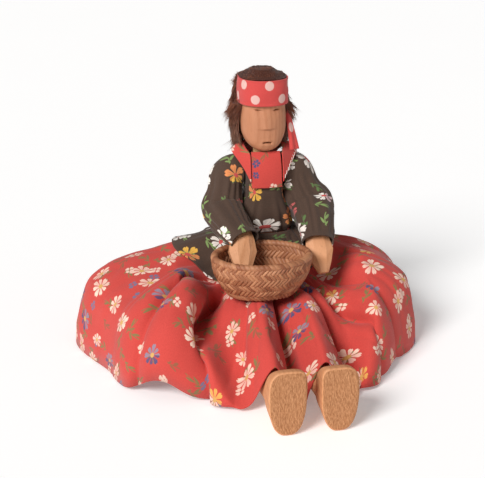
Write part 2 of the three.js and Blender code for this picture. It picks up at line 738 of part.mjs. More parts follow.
// The room that the headband takes out of the fur, back to where its ends are tucked in.
function bandRoom() {
  const [low, high] = [bandBottom - gap, bandTop + gap];
  const slab = new THREE.BoxGeometry(6 * headHalfWidth, 4 * headFront, high - low);
  slab.translate(0, bandEnd - 2 * headFront, (low + high) / 2);
  return solidOf(slab).subtract(loft([low - 1, high + 1].map((z) => levelRing(pinched, z, 36, 0, 2.4))));
}

function headband() {
  const ring = (z, grow) => levelRing(pinched, z, 36, grow, 2.4);
  const outside = gap + bandThickness;
  const hoop = loft(
    [
      ring(bandBottom, outside),
      ring((bandBottom + bandTop) / 2, outside + 0.4),
      ring(bandTop, outside - 0.2),
      ring(bandTop, gap),
      ring(bandBottom, gap),
    ],
    true,
  );
  const behind = new THREE.BoxGeometry(6 * headHalfWidth, 4 * headFront, 4 * (bandTop - bandBottom));
  behind.translate(0, bandEnd - gap + 2 * headFront, (bandBottom + bandTop) / 2);
  return hoop.subtract(solidOf(behind));
}

// The free end of the headband, hanging in front of the lock at the doll's left cheek.
function headbandTail() {
  const inner = point(browHalfWidth - 1.1, -headFront * 0.66, 0);
  const outer = inner.clone().add(point(tailWidth * 0.8, tailWidth * 0.28, 0));
  const top = bandBottom - gap;
  const at = (u, v) => {
    const across = inner.clone().lerp(outer, lerp(0.35 * (1 - v), 1 - 0.35 * (1 - v), u));
    return across.add(point(tailLean * v, -0.8 * Math.sin(Math.PI * u) - 0.6 * v, top - tailLength * v));
  };
  return garment(at, 6, [0, 0.25, 0.5, 0.75, 1], bandThickness, false);
}

piece(doll, "hair", hair(), fur);
piece(doll, "headband", headband(), dottedRed);
piece(doll, "headband_tail", headbandTail(), dottedRed);

// Bodice of the blouse, cut out round both shoulders.
function bodice() {
  const heights = [
    waistHeight + gap,
    waistHeight + 7,
    waistHeight + 16,
    shoulderHeight - 12,
    shoulderHeight,
    torsoTop - 3,
    torsoTop,
  ];
  const fullness = [0, blousing, blousing, blousing / 3, 0, 0, 0];
  const ring = (z, grow) => levelRing(torsoSection(z), z, bodySides, grow, 3.2);
  const rings = (grow) => heights.map((z, k) => ring(z, grow + fullness[k]));
  let worn = loft([...rings(ease + cloth), ...rings(ease).reverse()], true);
  for (const [name, side] of sides) {
    const hole = barAlongX(shoulderBossRadius + ease, -pegDepth, armThickness, 0, 0);
    worn = worn.subtract(placed(hole, shoulderMatrix(side, armPose[name].splay)));
  }
  return worn;
}

piece(doll, "bodice", bodice(), darkCalico);

// A curve from the neck over a shoulder point to a hem.
function draped(neck, over, hem, v) {
  const first = neck.clone().lerp(over, v);
  return first.lerp(over.clone().lerp(hem, v), v);
}

const chestCloth = chestFront + ease + cloth; // front of the bodice

// A curve round the back, through one half's points, a middle point and the half's mirror image.
function mirroredCurve(half, middle) {
  const mirrored = half.map((p) => point(-p.x, p.y, p.z)).reverse();
  return new THREE.CatmullRomCurve3([...half, middle, ...mirrored], false, "centripetal");
}

const neckFront = chestFront - 2.4; // of the collar's neckline
const neckBack = neckRadius + ease + cloth + 1;

// Collar: a cape open in front, with pointed wings over the shoulders.
function collar() {
  const front = chestCloth + ease + cloth;
  const backHem = chestBack + 2 * (ease + cloth) + 2 * gap;
  const edge = collarOpening + gap;
  const neckHeight = torsoTop + 3.4;
  const hemHalf = [
    point(edge, -front, collarFrontHem),
    point(collarTipReach * 0.68, -front * 0.74, (collarFrontHem + collarTipHeight) / 2),
    point(collarTipReach, -1, collarTipHeight),
    point(collarTipReach * 0.7, chestBack, collarTipHeight - 2.5),
    point(collarTipReach * 0.3, backHem, collarBackHem + 4),
  ];
  const neckHalf = [
    point(edge, -neckFront, neckHeight + 0.8),
    point(edge + 1, -neckFront * 0.55, neckHeight + 0.6),
    point(edge + 0.6, -neckFront * 0.08, neckHeight),
    point(edge * 0.8, neckBack * 0.62, neckHeight),
    point(edge * 0.4, neckBack * 0.95, neckHeight),
  ];
  const hemLine = mirroredCurve(hemHalf, point(0, backHem, collarBackHem));
  const neckline = mirroredCurve(neckHalf, point(0, neckBack, neckHeight));
  const at = (u, v) => {
    const turn = THREE.MathUtils.clamp(u, 0, 1);
    const hem = hemLine.getPoint(turn);
    const neck = neckline.getPoint(turn);
    const facing = Math.sin(Math.atan2(hem.y, hem.x)) ** 2;
    const over = neck.clone().lerp(hem, lerp(0.5, 0.8, facing)).setZ(neck.z + lerp(1, -1.5, facing));
    return draped(neck, over, hem, v);
  };
  return garment(at, 36, [0, 0.2, 0.4, 0.6, 0.8, 1], cloth, false);
}

// Bib: the panel that fills the opening of the collar.
function bib() {
  const front = chestCloth + ease + cloth + gap;
  const bibHalfWidth = collarOpening - gap;
  const at = (u, v) => {
    const x = lerp(-bibHalfWidth, bibHalfWidth, u);
    const round = 1.1 * (x / bibHalfWidth) ** 2;
    const neck = point(x * 0.94, -neckFront + 0.4 * round, bibTop);
    const over = point(x * 0.97, -front + 0.6 + round, bibTop - 4);
    const hem = point(x, -front + round, bibHem);
    return draped(neck, over, hem, v);
  };
  return garment(at, 8, [0, 0.15, 0.3, 0.45, 0.6, 0.8, 1], cloth, false);
}

piece(doll, "collar", collar(), redCalico);
piece(doll, "bib", bib(), redCalico);

// Skirt: spread on the floor at the sides, raised over both legs, with a valley between them.
const waistSection = torsoSection(waistHeight);
const skirtWaist = { x: waistSection.halfWidth + ease + cloth, y: waistSection.front + ease + cloth };

// Radius of the skirt's waist, with the rounded square section of the torso.
function waistRadius(angle) {
  const across = Math.abs(Math.cos(angle) / skirtWaist.x) ** 3.2;
  const lengthways = Math.abs(Math.sin(angle) / skirtWaist.y) ** 3.2;
  return (across + lengthways) ** (-1 / 3.2);
}

function hemRadius(angle) {
  const across = (hemLeft + hemRight) / 2;
  const lengthways = (hemFront + hemBack) / 2;
  const mean = (across + lengthways) / 2 - hemSquareness;
  const sideways = ((hemLeft - hemRight) / 2) * Math.cos(angle);
  const forwards = ((hemBack - hemFront) / 2) * Math.sin(angle);
  const oval = ((across - lengthways) / 2) * Math.cos(2 * angle);
  return mean + sideways + forwards + oval + hemSquareness * Math.cos(4 * angle);
}

function hemLift(angle) {
  const turn = THREE.MathUtils.euclideanModulo(THREE.MathUtils.radToDeg(angle), 360);
  const bump = (lift) => lift.rise * Math.exp(-(((turn - lift.atDegrees) / lift.spreadDegrees) ** 2));
  return hemLifts.reduce((sum, lift) => sum + bump(lift), 0);
}

// The skirt without its folds.
function skirtPoint(angle, reach) {
  const radius = hemRadius(angle);
  const swell = swellDepth * Math.cos(swellCount * angle + 0.8 * Math.sin(3 * angle) - 2.1);
  const tuck = hemTuck * (1 - smooth(-Math.sin(angle), 0.35, 0.75)) * smooth(reach, 0.84, 1);
  const out = lerp(waistRadius(angle), radius + swell * reach * reach, reach) - tuck;
  const x = Math.cos(angle) * out;
  const y = Math.sin(angle) * out;
  const low = hemHeight + hemLift(angle);
  const slope = lerp(0.36, 0.62, smooth(Math.sin(angle), -0.1, 0.8));
  const dome = (1 - slope * reach) * Math.sqrt(Math.max(0, 1 - reach ** 8));
  const side = low + (waistHeight - low) * dome + swell * reach * (1 - reach ** 6);
  const lapEnd = 0.5;
  const fall = Math.max(0, (reach - lapEnd) / (1 - lapEnd)) ** 1.3;
  const fromWaist = (waistHeight - lapHeight) * Math.exp(-reach / 0.045);
  const ridgeTop = lerp(lapHeight, ankleHemHeight, fall) + fromWaist;
  const aside = Math.abs(x) - legCentre;
  const offRidge = Math.min(1, aside < 0 ? -aside / legCentre : aside / legRidgeRun);
  const ridge = Math.cos((Math.PI / 2) * offRidge) ** 2;
  const valley = (ankleHemHeight - valleyHemHeight) * smooth(reach, 0.3, 1);
  const lap = ridgeTop - valley * (1 - ridge);
  const between = 1 - smooth(Math.abs(x), lapHalfWidth, lapHalfWidth + lapBlend);
  const inFront = between * smooth(-y, lapStart, lapStart + lapRun);
  return point(x, y, Math.max(hemHeight, lerp(side, lap, inFront)));
}

const skirtRows = [0, 0.06, 0.14, 0.3, 0.45, 0.6, 0.75, 0.87, 0.96, 1];
const columnsPerFold = 3;
const skirtColumns = columnsPerFold * creases.length;

// Which fold a share u of the turn is in, and how far across it.
function foldAt(u) {
  const along = THREE.MathUtils.euclideanModulo(u, 1) * creases.length;
  const fold = Math.min(Math.floor(along), creases.length - 1);
  return { from: creases[fold], to: creases[(fold + 1) % creases.length], share: along - fold };
}

// The angle of a share u of the turn, which follows the creases down the skirt.
function skirtAngle(u, reach) {
  const { from, to, share } = foldAt(u);
  const [near, half, hem] = creaseReaches;
  const way = ({ degrees }) => {
    if (reach < half) return lerp(degrees[0], degrees[1], Math.max(0, (reach - near) / (half - near)));
    return lerp(degrees[1], degrees[2], (reach - half) / (hem - half));
  };
  const start = way(from);
  const turn = THREE.MathUtils.euclideanModulo(way(to) - start, 360);
  return radians(start + turn * share);
}

// Square to the unfolded skirt, from the outside in.
function skirtInward(angle, reach) {
  const step = 0.01;
  const along = skirtPoint(angle + step, reach).sub(skirtPoint(angle - step, reach));
  const down = skirtPoint(angle, Math.min(1, reach + step)).sub(skirtPoint(angle, Math.max(0, reach - step)));
  return along.cross(down).normalize();
}

// Rounded folds with sharp creases between them.
function skirtFold(u, reach) {
  const { from, to, share } = foldAt(u);
  const angle = skirtAngle(u, reach);
  const depth = lerp(from.depth, to.depth, smooth(share, 0, 1)) * Math.abs(2 * share - 1) ** 2.6;
  const turn = THREE.MathUtils.euclideanModulo(THREE.MathUtils.radToDeg(angle), 360);
  const coneTurn = lerp(220, 229, (reach - 0.3) / 0.7);
  const cone = coneRise * Math.exp(-(((turn - coneTurn) / 7) ** 2)) * smooth(reach, 0.32, 0.6);
  const inward = depth * smooth(reach, 0.1, 0.48) * lerp(1, 0.4, smooth(reach, 0.66, 1)) - cone;
  const here = skirtPoint(angle, reach).addScaledVector(skirtInward(angle, reach), inward);
  return here.setZ(Math.max(hemHeight, here.z));
}

function skirt() {
  return garment(skirtFold, skirtColumns, skirtRows, cloth);
}

// A point on the facets of the unfolded skirt, between two of its rows.
function onSkirt(angle, reach) {
  const row = Math.max(1, skirtRows.findIndex((end) => end >= reach));
  const [from, to] = [skirtRows[row - 1], skirtRows[row]];
  return skirtPoint(angle, from).lerp(skirtPoint(angle, to), (reach - from) / (to - from));
}

// Peplum: the flared lower edge of the blouse, lying on the skirt.
function peplum() {
  const share = (angle) => {
    const c = Math.cos(angle);
    const s = Math.sin(angle);
    return c * c * (c < 0 ? peplumRight : peplumLeft) + s * s * (s < 0 ? peplumFront : peplumBack);
  };
  const at = (u, v) => {
    const angle = skirtAngle(u, creaseReaches[0]);
    const step = 0.01;
    const reach = v * share(angle);
    const here = onSkirt(angle, reach);
    const along = onSkirt(angle + step, reach).sub(onSkirt(angle - step, reach));
    const down = onSkirt(angle, reach + 2 * step).sub(onSkirt(angle, Math.max(0, reach - 2 * step)));
    return here.addScaledVector(down.cross(along).normalize(), ease + gap + cloth);
  };
  return garment(at, skirtColumns, [0, 0.25, 0.5, 0.75, 1], cloth);
}

piece(doll, "skirt", skirt(), redCalico);
piece(doll, "peplum", peplum(), darkCalico);

// Basket: a plaited oval bowl with a turned-over border, standing on the lap.
function basket() {
  const seat = lapHeight + gap;
  const spread = (share) => Math.sin((Math.PI / 2) * share) ** 0.9;
  const ring = (height, inset) => {
    const share = spread(Math.min(1, height / (basketHeight - 3.2)));
    const halfX = lerp(basketBaseHalf.x, basketRimHalf.x, share) - inset;
    const halfY = lerp(basketBaseHalf.y, basketRimHalf.y, share) - inset;
    return Array.from({ length: 40 }, (_, i) => {
      const angle = (2 * Math.PI * i) / 40;
      const across = basketCentre.x + halfX * Math.cos(angle);
      return point(across, basketCentre.y + halfY * Math.sin(angle), seat + height);
    });
  };
  const outside = [0, 1, 4, 8, 13, 18, basketHeight - 3.2].map((height) => ring(height, height === 0 ? 1 : 0));
  const border = [
    ring(basketHeight - 2.4, -0.6),
    ring(basketHeight - 0.8, -0.6),
    ring(basketHeight, 0.2),
    ring(basketHeight, basketWall - 0.2),
    ring(basketHeight - 0.8, basketWall + 0.6),
    ring(basketHeight - 2.4, basketWall + 0.6),
  ];
  const inside = [basketHeight - 3.2, 18, 13, 8, 4, basketWall].map((height) => ring(height, basketWall));
  return loft([...outside, ...border, ...inside]);
}

piece(doll, "basket", basket(), splint);

export default doll;
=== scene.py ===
import json
import math

import bmesh
import bpy
import numpy as np
from mathutils import Matrix, Vector, noise


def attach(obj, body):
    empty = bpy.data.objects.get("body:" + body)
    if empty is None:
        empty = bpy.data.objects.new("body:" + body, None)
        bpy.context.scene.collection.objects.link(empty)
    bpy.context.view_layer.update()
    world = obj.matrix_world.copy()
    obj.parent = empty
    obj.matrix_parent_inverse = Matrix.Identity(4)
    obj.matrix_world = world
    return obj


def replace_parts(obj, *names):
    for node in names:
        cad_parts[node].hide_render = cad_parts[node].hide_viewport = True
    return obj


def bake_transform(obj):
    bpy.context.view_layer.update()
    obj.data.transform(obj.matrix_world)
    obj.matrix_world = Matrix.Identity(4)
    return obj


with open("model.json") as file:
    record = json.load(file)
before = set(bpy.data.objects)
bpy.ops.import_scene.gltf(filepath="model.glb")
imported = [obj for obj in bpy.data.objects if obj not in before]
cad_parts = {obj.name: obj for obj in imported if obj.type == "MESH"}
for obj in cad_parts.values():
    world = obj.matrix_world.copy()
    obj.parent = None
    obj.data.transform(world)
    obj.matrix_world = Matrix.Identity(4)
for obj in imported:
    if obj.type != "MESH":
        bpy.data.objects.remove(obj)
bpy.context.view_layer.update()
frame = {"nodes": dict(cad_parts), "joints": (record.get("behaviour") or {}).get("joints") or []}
mm = 0.001
perMetre = 1000.0  # shader places are in metres
yarn = 0.0002  # height of fine bumps, in metres
fullTurn = 2 * math.pi
print("frame loaded")


# small maths on arrays
def lerp(a, b, t):
    return a + (b - a) * t


def smooth(x, low, high):
    t = np.clip((x - low) / (high - low), 0, 1)
    return t * t * (3 - 2 * t)


def bell(x, middle, width):
    return np.exp(-(((x - middle) / width) ** 2))


def unit(v):
    return v / np.maximum(np.linalg.norm(v, axis=-1, keepdims=True), 1e-9)


def wobble(points, size, shift=0.0):  # smooth noise from -1 to 1, size in mm
    flat = points.reshape(-1, 3) / size + shift
    return np.array([noise.noise(q) for q in flat.tolist()]).reshape(points.shape[:-1])


def through(points, t):  # a smooth curve through a few points, t from 0 to 1
    points = np.array(points, float)
    padded = np.vstack([2 * points[0] - points[1], points, 2 * points[-1] - points[-2]])
    last = len(points) - 1
    along = np.clip(t, 0, 1) * last
    k = np.minimum(along.astype(int), last - 1)
    w = (along - k)[..., None]
    p0, p1, p2, p3 = (padded[k + i] for i in range(4))
    d0, d1, d2 = (
        np.maximum(np.linalg.norm(b - a, axis=-1, keepdims=True) ** 0.5, 1e-4)
        for a, b in ((p0, p1), (p1, p2), (p2, p3))
    )
    t1 = ((p1 - p0) / d0 - (p2 - p0) / (d0 + d1) + (p2 - p1) / d1) * d1
    t2 = ((p2 - p1) / d1 - (p3 - p1) / (d1 + d2) + (p3 - p2) / d2) * d1
    return p1 + t1 * w + (3 * (p2 - p1) - 2 * t1 - t2) * w**2 + (2 * (p1 - p2) + t1 + t2) * w**3


def levelRing(angle, halfWidth, front, back, grow, squareness):  # rounded square section
    power = 2 / squareness
    c, s = np.cos(angle), np.sin(angle)
    x = (halfWidth + grow) * np.sign(c) * np.abs(c) ** power
    y = (back - front) / 2 + ((back + front) / 2 + grow) * np.sign(s) * np.abs(s) ** power
    return x, y


def roundTurns(count, start=0.0):  # even turns round a ring
    return fullTurn * (np.arange(count) + start) / count


# meshes
def linked(name, data):
    made = bpy.data.objects.new(name, data)
    bpy.context.scene.collection.objects.link(made)
    return made


def makePiece(name, points, faces, materials, uv=None, slots=None, sharp=None):
    mesh = bpy.data.meshes.new(name)
    mesh.from_pydata((points * mm).tolist(), [], faces)
    for material in materials:
        mesh.materials.append(material)
    if uv is not None:
        mesh.uv_layers.new(name="UVMap").data.foreach_set("uv", uv.astype(np.float32).ravel())
    if slots is not None:
        mesh.polygons.foreach_set("material_index", slots.astype(np.int32))
    mesh.polygons.foreach_set("use_smooth", np.ones(len(faces), bool) if sharp is None else ~sharp)
    mesh.update()
    return linked(name, mesh)


def gridNormals(grid, closed, inside):
    if closed:
        along = np.roll(grid, -1, 1) - np.roll(grid, 1, 1)
    else:
        along = np.gradient(grid, axis=1)
    normal = unit(np.cross(along, np.gradient(grid, axis=0)))
    return -normal if ((grid - inside) * normal).sum() < 0 else normal


def pushed(grid, closed, inside, amount):  # moved outwards by an amount at each point
    return grid + gridNormals(grid, closed, inside) * amount[..., None]


def gridQuads(rows, columns, closed):  # row and column of every face, and its four corners
    j, i = np.meshgrid(np.arange(rows - 1), np.arange(columns if closed else columns - 1), indexing="ij")
    j, i = j.ravel(), i.ravel()
    low, high, after = j * columns, (j + 1) * columns, (i + 1) % columns
    return j, i, np.stack([low + i, low + after, high + after, high + i], 1)


def flatUv(u, v):  # places on the cloth laid out flat, in mm
    return np.stack(np.broadcast_arrays(u, v), -1)


# A cloth with two faces over a grid of points: the first material outside, the last inside.
def clothPiece(name, grid, uv, thickness, closed, inside, materials):
    rows, columns = grid.shape[:2]
    normal = gridNormals(grid, closed, inside)
    points = np.concatenate([grid.reshape(-1, 3), (grid - normal * thickness).reshape(-1, 3)])
    back = rows * columns
    j, i, quad = gridQuads(rows, columns, closed)
    quadUv = np.stack([uv[j, i], uv[j, i + 1], uv[j + 1, i + 1], uv[j + 1, i]], 1)
    sample = quad[len(quad) // 2]
    a, b, c = points[sample[:3]]
    if np.dot(np.cross(b - a, c - a), normal.reshape(-1, 3)[sample[0]]) < 0:
        quad, quadUv = quad[:, ::-1], quadUv[:, ::-1]
    edges = {}  # those of one face only
    for face, corners in zip(quad.tolist(), quadUv):
        for k in range(4):
            key = (face[k], face[(k + 1) % 4])
            if (key[1], key[0]) in edges:
                del edges[(key[1], key[0])]
            else:
                edges[key] = (corners[k], corners[(k + 1) % 4])
    rim = np.array([[q, p, p + back, q + back] for p, q in edges])
    rimUv = np.array([[w, v, v, w] for v, w in edges.values()])
    faces = np.concatenate([quad, quad[:, ::-1] + back, rim])
    uvs = np.concatenate([quadUv, quadUv[:, ::-1], rimUv])
    order = np.arange(len(faces))
    sharp = order >= 2 * len(quad)
    slots = np.where((order >= len(quad)) & ~sharp, len(materials) - 1, 0)
    return makePiece(name, points, faces.tolist(), materials, uvs, slots, sharp)


def closedGrid(name, grid, materials, slots=None):  # a closed skin over rings, with a middle point at both ends
    rows, columns = grid.shape[:2]
    points = np.concatenate([grid.reshape(-1, 3), grid[:1].mean(1), grid[-1:].mean(1)])
    faces = gridQuads(rows, columns, True)[2].tolist()
    first, last, top = rows * columns, rows * columns + 1, (rows - 1) * columns
    faces += [[first, (k + 1) % columns, k] for k in range(columns)]
    faces += [[last, top + k, top + (k + 1) % columns] for k in range(columns)]
    return makePiece(name, points, faces, materials, slots=slots)


def setAttribute(mesh, name, values, domain="POINT"):
    values = np.asarray(values, np.float32)
    kind, field = ("FLOAT_VECTOR", "vector") if values.ndim == 2 else ("FLOAT", "value")
    mesh.attributes.new(name, kind, domain).data.foreach_set(field, values.ravel())


def arcLength(grid, axis):
    step = np.linalg.norm(np.diff(grid, axis=axis), axis=-1)
    start = np.zeros_like(np.take(step, [0], axis))
    return np.concatenate([start, np.cumsum(step, axis)], axis)


# shader maths
class Val:
    def __init__(self, socket):
        self.socket = socket

    def node(self, kind, inputs=(), out=0, **settings):
        tree = self.socket.id_data
        made = tree.nodes.new(kind)
        for key, value in settings.items():
            setattr(made, key, value)
        pairs = inputs.items() if isinstance(inputs, dict) else enumerate(inputs)
        for key, value in pairs:
            if isinstance(value, Val):
                tree.links.new(value.socket, made.inputs[key])
            else:
                made.inputs[key].default_value = value
        return Val(made.outputs[out])

    def other(self, name):
        return Val(self.socket.node.outputs[name])

    def math(self, operation, *others, clamp=False):
        return self.node("ShaderNodeMath", [self, *others], operation=operation, use_clamp=clamp)

    def __add__(self, other):
        return self.math("ADD", other)

    __radd__ = __add__

    def __mul__(self, other):
        return self.math("MULTIPLY", other)

    __rmul__ = __mul__

    def __sub__(self, other):
        return self.math("SUBTRACT", other)

    def __rsub__(self, other):
        return self.node("ShaderNodeMath", [other, self], operation="SUBTRACT")

    def __truediv__(self, other):
        return self.math("DIVIDE", other)

    def __pow__(self, other):
        return self.math("POWER", other)

    def __abs__(self):
        return self.math("ABSOLUTE")

    def clamp(self):
        return self.math("ADD", 0.0, clamp=True)

    def under(self, other, soft):  # 1 where self is less than other, with a soft edge
        return ((other - self) / soft + 0.5).clamp()

    def vector(self, operation, *others):
        out = 1 if operation == "LENGTH" else 0
        return self.node("ShaderNodeVectorMath", [self, *others], out=out, operation=operation)

    def mix(self, first, second):  # self is the share of the second colour
        return self.node("ShaderNodeMix", {0: self, 6: first, 7: second}, out=2, data_type="RGBA")

    def bump(self, strength, distance, normal=None):
        inputs = {"Height": self, "Strength": strength, "Distance": distance}
        if normal is not None:
            inputs["Normal"] = normal
        return self.node("ShaderNodeBump", inputs)


def tint(code):  # a hexadecimal sRGB colour as linear RGBA
    levels = [int(code[i : i + 2], 16) / 255 for i in (0, 2, 4)]
    return tuple(c / 12.92 if c <= 0.04045 else ((c + 0.055) / 1.055) ** 2.4 for c in levels) + (1.0,)


def newMaterial(name, roughness, **fixed):  # the shader's node and a socket to start expressions from
    material = bpy.data.materials.new(name)
    material.use_nodes = True
    shader = material.node_tree.nodes["Principled BSDF"]
    shader.inputs["Roughness"].default_value = roughness
    for key, value in fixed.items():
        shader.inputs[key.replace("_", " ")].default_value = value
    place = material.node_tree.nodes.new("ShaderNodeTexCoord")
    return material, shader, Val(place.outputs["Object"])


def feed(shader, **sockets):
    for key, value in sockets.items():
        shader.id_data.links.new(value.socket, shader.inputs[key.replace("_", " ")])


def noiseAt(where, scale, detail=2.0, roughness=0.5, out="Fac"):
    inputs = {"Vector": where, "Scale": scale, "Detail": detail, "Roughness": roughness}
    return where.node("ShaderNodeTexNoise", inputs, out=out)


def parts(vector):
    x = vector.node("ShaderNodeSeparateXYZ", [vector])
    return x, x.other("Y"), x.other("Z")


def together(masks):
    first, *rest = masks
    for mask in rest:
        first = first.math("MAXIMUM", mask)
    return first


# One motif to a cell of the cloth: its place from the cell's middle in mm, and three random numbers.
def scatter(cloth, cell, shift, loose):
    inputs = [cloth, (1 / cell,) * 3, (shift, 1.7 * shift, 0)]
    spread = cloth.node("ShaderNodeVectorMath", inputs, operation="MULTIPLY_ADD")
    inputs = {"Vector": spread, "Scale": 1.0, "Randomness": loose}
    spot = spread.node("ShaderNodeTexVoronoi", inputs, out="Position", voronoi_dimensions="2D")
    x, y = parts(spread.vector("SUBTRACT", spot).vector("MULTIPLY", (cell, cell, 0)))[:2]
    dice = spot.node("ShaderNodeSeparateColor", [spot.other("Color")])
    return x, y, dice, dice.other("Green"), dice.other("Blue")


def turned(x, y, turn):  # along and across a motif that is turned
    spin = turn * fullTurn
    c, s = spin.math("COSINE"), spin.math("SINE")
    return x * c + y * s, y * c - x * s


# Petal and eye masks of an open flower, with the distance from its middle and the angle round it.
def openFlower(x, y, turn, size, petals, width):
    radius = (x * x + y * y) ** 0.5
    angle = y.math("ARCTAN2", x) + turn * fullTurn
    petalTurn = (angle * (petals / fullTurn)).math("FLOORED_MODULO", petals)
    across = abs(petalTurn.math("FRACT") - 0.5)
    uneven = (petalTurn.math("FLOOR") * 0.618 + turn * 7.0).math("FRACT")  # each petal has its own length
    notch = (0.09 - across).math("MAXIMUM", 0.0) * 1.5
    edge = size * (0.76 + uneven * 0.28) * (1.0 - across * across * 1.6 - notch)
    petal = across.under(width, 0.07) * radius.under(edge, 0.35) * (1 - radius.under(size * 0.2, 0.3))
    return petal.clamp(), radius.under(size * 0.21, 0.35), radius, angle


calicoPrint = {
    "red": {
        "ground": "d2473d", "shade": "be3b33", "inside": "bf6660",
        "flower": {"cell": 18.0, "size": 6.3, "share": 0.8, "eye": "d3a35a", "petals": 8, "aslant": 0.75},
        "colours": ["f0d2bd", "4a4a70", "dda552"], "second": ["e8beac", "8b8091", "f0d2bd"],
        "small": {"cell": 12.5, "size": 2.7, "share": 0.3, "colour": "ebc5b2", "other": "776c86"},
        "leaf": {"cell": 10.5, "share": 0.62, "colour": "847043", "other": "96583c"},
    },
    "dark": {
        "ground": "503a2c", "shade": "412d21", "inside": "5b4b40",
        "flower": {"cell": 21.0, "size": 7.6, "share": 0.78, "eye": "c9504a", "petals": 7, "aslant": 0.35},
        "colours": ["f1e9df", "e9b24a", "e3bfc0"], "second": ["ece0d6", "e08b52", "f1e9df"],
        "small": {"cell": 13.0, "size": 2.9, "share": 0.28, "colour": "ece2d8", "other": "bd5a58"},
        "leaf": {"cell": 12.0, "share": 0.6, "colour": "7f9757", "other": "59713f"},
    },
}


def cottonGround(cloth, look, fineness):  # the unevenly dyed ground, and the slubs of its yarn
    slub = noiseAt(cloth, fineness, 3.0, 0.6)
    return (slub * 1.5 - 0.25).clamp().mix(tint(look["ground"]), tint(look["shade"])), slub


def weave(cloth, threads):
    x, y = parts(cloth)[:2]
    return (x * threads).math("SINE") * (y * threads).math("SINE")


def oneOf(kind, colours):
    rest = kind.math("LESS_THAN", 0.78).mix(tint(colours[2]), tint(colours[1]))
    return kind.math("LESS_THAN", 0.52).mix(rest, tint(colours[0]))


# a sprig's leaves: reach and lift of the middle, lean, half length and half width
sprigLeaves = ((1.4, 1.15, 0.55, 1.9, 0.72), (-0.9, -1.2, -0.5, 1.8, 0.68), (-2.6, 0.9, 0.5, 1.3, 0.5))


def sprigs(colour, cloth, look, shift):
    leaf = look["leaf"]
    x, y, chance, turn, kind = scatter(cloth, leaf["cell"], shift + 3.3, 0.75)
    along, aside = turned(x, y, turn)
    masks = [abs(aside - along * along * 0.05).under(0.24, 0.25) * abs(along).under(4.2, 0.4)]  # the bent stem
    for reach, lift, lean, length, width in sprigLeaves:
        u = along - reach
        v = aside - lift - u * lean
        masks.append((u * u / length**2 + v * v / width**2).under(1.0, 0.5))
    leafColour = kind.under(0.6, 0.1).mix(tint(leaf["other"]), tint(leaf["colour"]))
    return (together(masks) * chance.math("LESS_THAN", leaf["share"])).clamp().mix(colour, leafColour)


def smallFlowers(colour, cloth, look, shift):
    small = look["small"]
    x, y, chance, turn, kind = scatter(cloth, small["cell"], shift + 7.9, 0.8)
    petal = openFlower(x, y, turn, turn * 0.4 + small["size"], 4, 0.4)[0]
    petalColour = kind.math("LESS_THAN", 0.65).mix(tint(small["other"]), tint(small["colour"]))
    return (petal * chance.math("LESS_THAN", small["share"])).clamp().mix(colour, petalColour)


def largeFlowers(colour, cloth, look, shift):  # aslant, with one side of a second colour and streaks near the eye
    flower = look["flower"]
    x, y, chance, turn, kind = scatter(cloth, flower["cell"], shift, 0.55)
    aslant = (chance * 7.0).math("FRACT") * flower["aslant"] + 1.0
    size = ((kind * 5.0).math("FRACT") * 0.42 + 0.74) * flower["size"]
    along, aside = turned(x, y, turn)
    petal, eye, radius, angle = openFlower(along, aside * aslant, kind * 3.0, size, flower["petals"], 0.37)
    half = (angle - turn * 9.0).math("SINE").under(0.15, 0.1)
    petalColour = half.mix(oneOf(kind, look["colours"]), oneOf(kind, look["second"]))
    streak = ((angle * 21.0).math("SINE") * 0.5 + 0.5) * radius.under(flower["size"] * 0.62, 2.0) * 0.28
    petalColour = streak.mix(petalColour, tint(look["ground"]))
    shown = chance.math("LESS_THAN", flower["share"])
    colour = (petal * shown).clamp().mix(colour, petalColour)
    return (eye * shown).clamp().mix(colour, tint(flower["eye"]))


def calico(name, look, shift, marks=()):
    material, shader, place = newMaterial(name, 0.86, Sheen_Weight=0.12, Sheen_Roughness=0.5)
    cloth = place.node("ShaderNodeUVMap")
    colour, slub = cottonGround(cloth, look, 1.4)
    for layer in (sprigs, smallFlowers, largeFlowers):
        colour = layer(colour, cloth, look, shift)
    x, y = parts(cloth)[:2]
    for u, v, size, turn in marks:  # flowers at set places
        petal = openFlower(x - u, y - v, turn, size, 6, 0.42)[0]
        colour = petal.mix(colour, tint(look["colours"][1]))
    faded = noiseAt(cloth, 0.05, 2.0) * 0.16 + 0.92
    colour = place.node("ShaderNodeHueSaturation", {"Color": colour, "Value": faded})
    feed(shader, Base_Color=colour, Normal=(weave(cloth, 11.0) + slub * 1.2).bump(0.22, yarn))
    return material


def calicoInside(name, look):  # the print shows through faintly
    material, shader, place = newMaterial(name, 0.9, Sheen_Weight=0.1)
    cloth = place.node("ShaderNodeUVMap")
    colour = noiseAt(cloth, 0.35, 3.0).mix(tint(look["inside"]), tint(look["ground"]))
    feed(shader, Base_Color=colour, Normal=noiseAt(cloth, 2.5, 2.0).bump(0.2, yarn))
    return material


redCalico = calico("red calico", calicoPrint["red"], 0.0)
redInside = calicoInside("red calico inside", calicoPrint["red"])
darkCalico = calico("dark calico", calicoPrint["dark"], 0.4)
darkInside = calicoInside("dark calico inside", calicoPrint["dark"])
reds, darks = [redCalico, redInside], [darkCalico, darkInside]  # outside and inside


dotted = {
    "ground": "d44843", "shade": "bf3c38", "dot": "deb2a8", "size": 2.65, "pitch": (16.3, 15.6), "start": (8.55, 3.9),
}


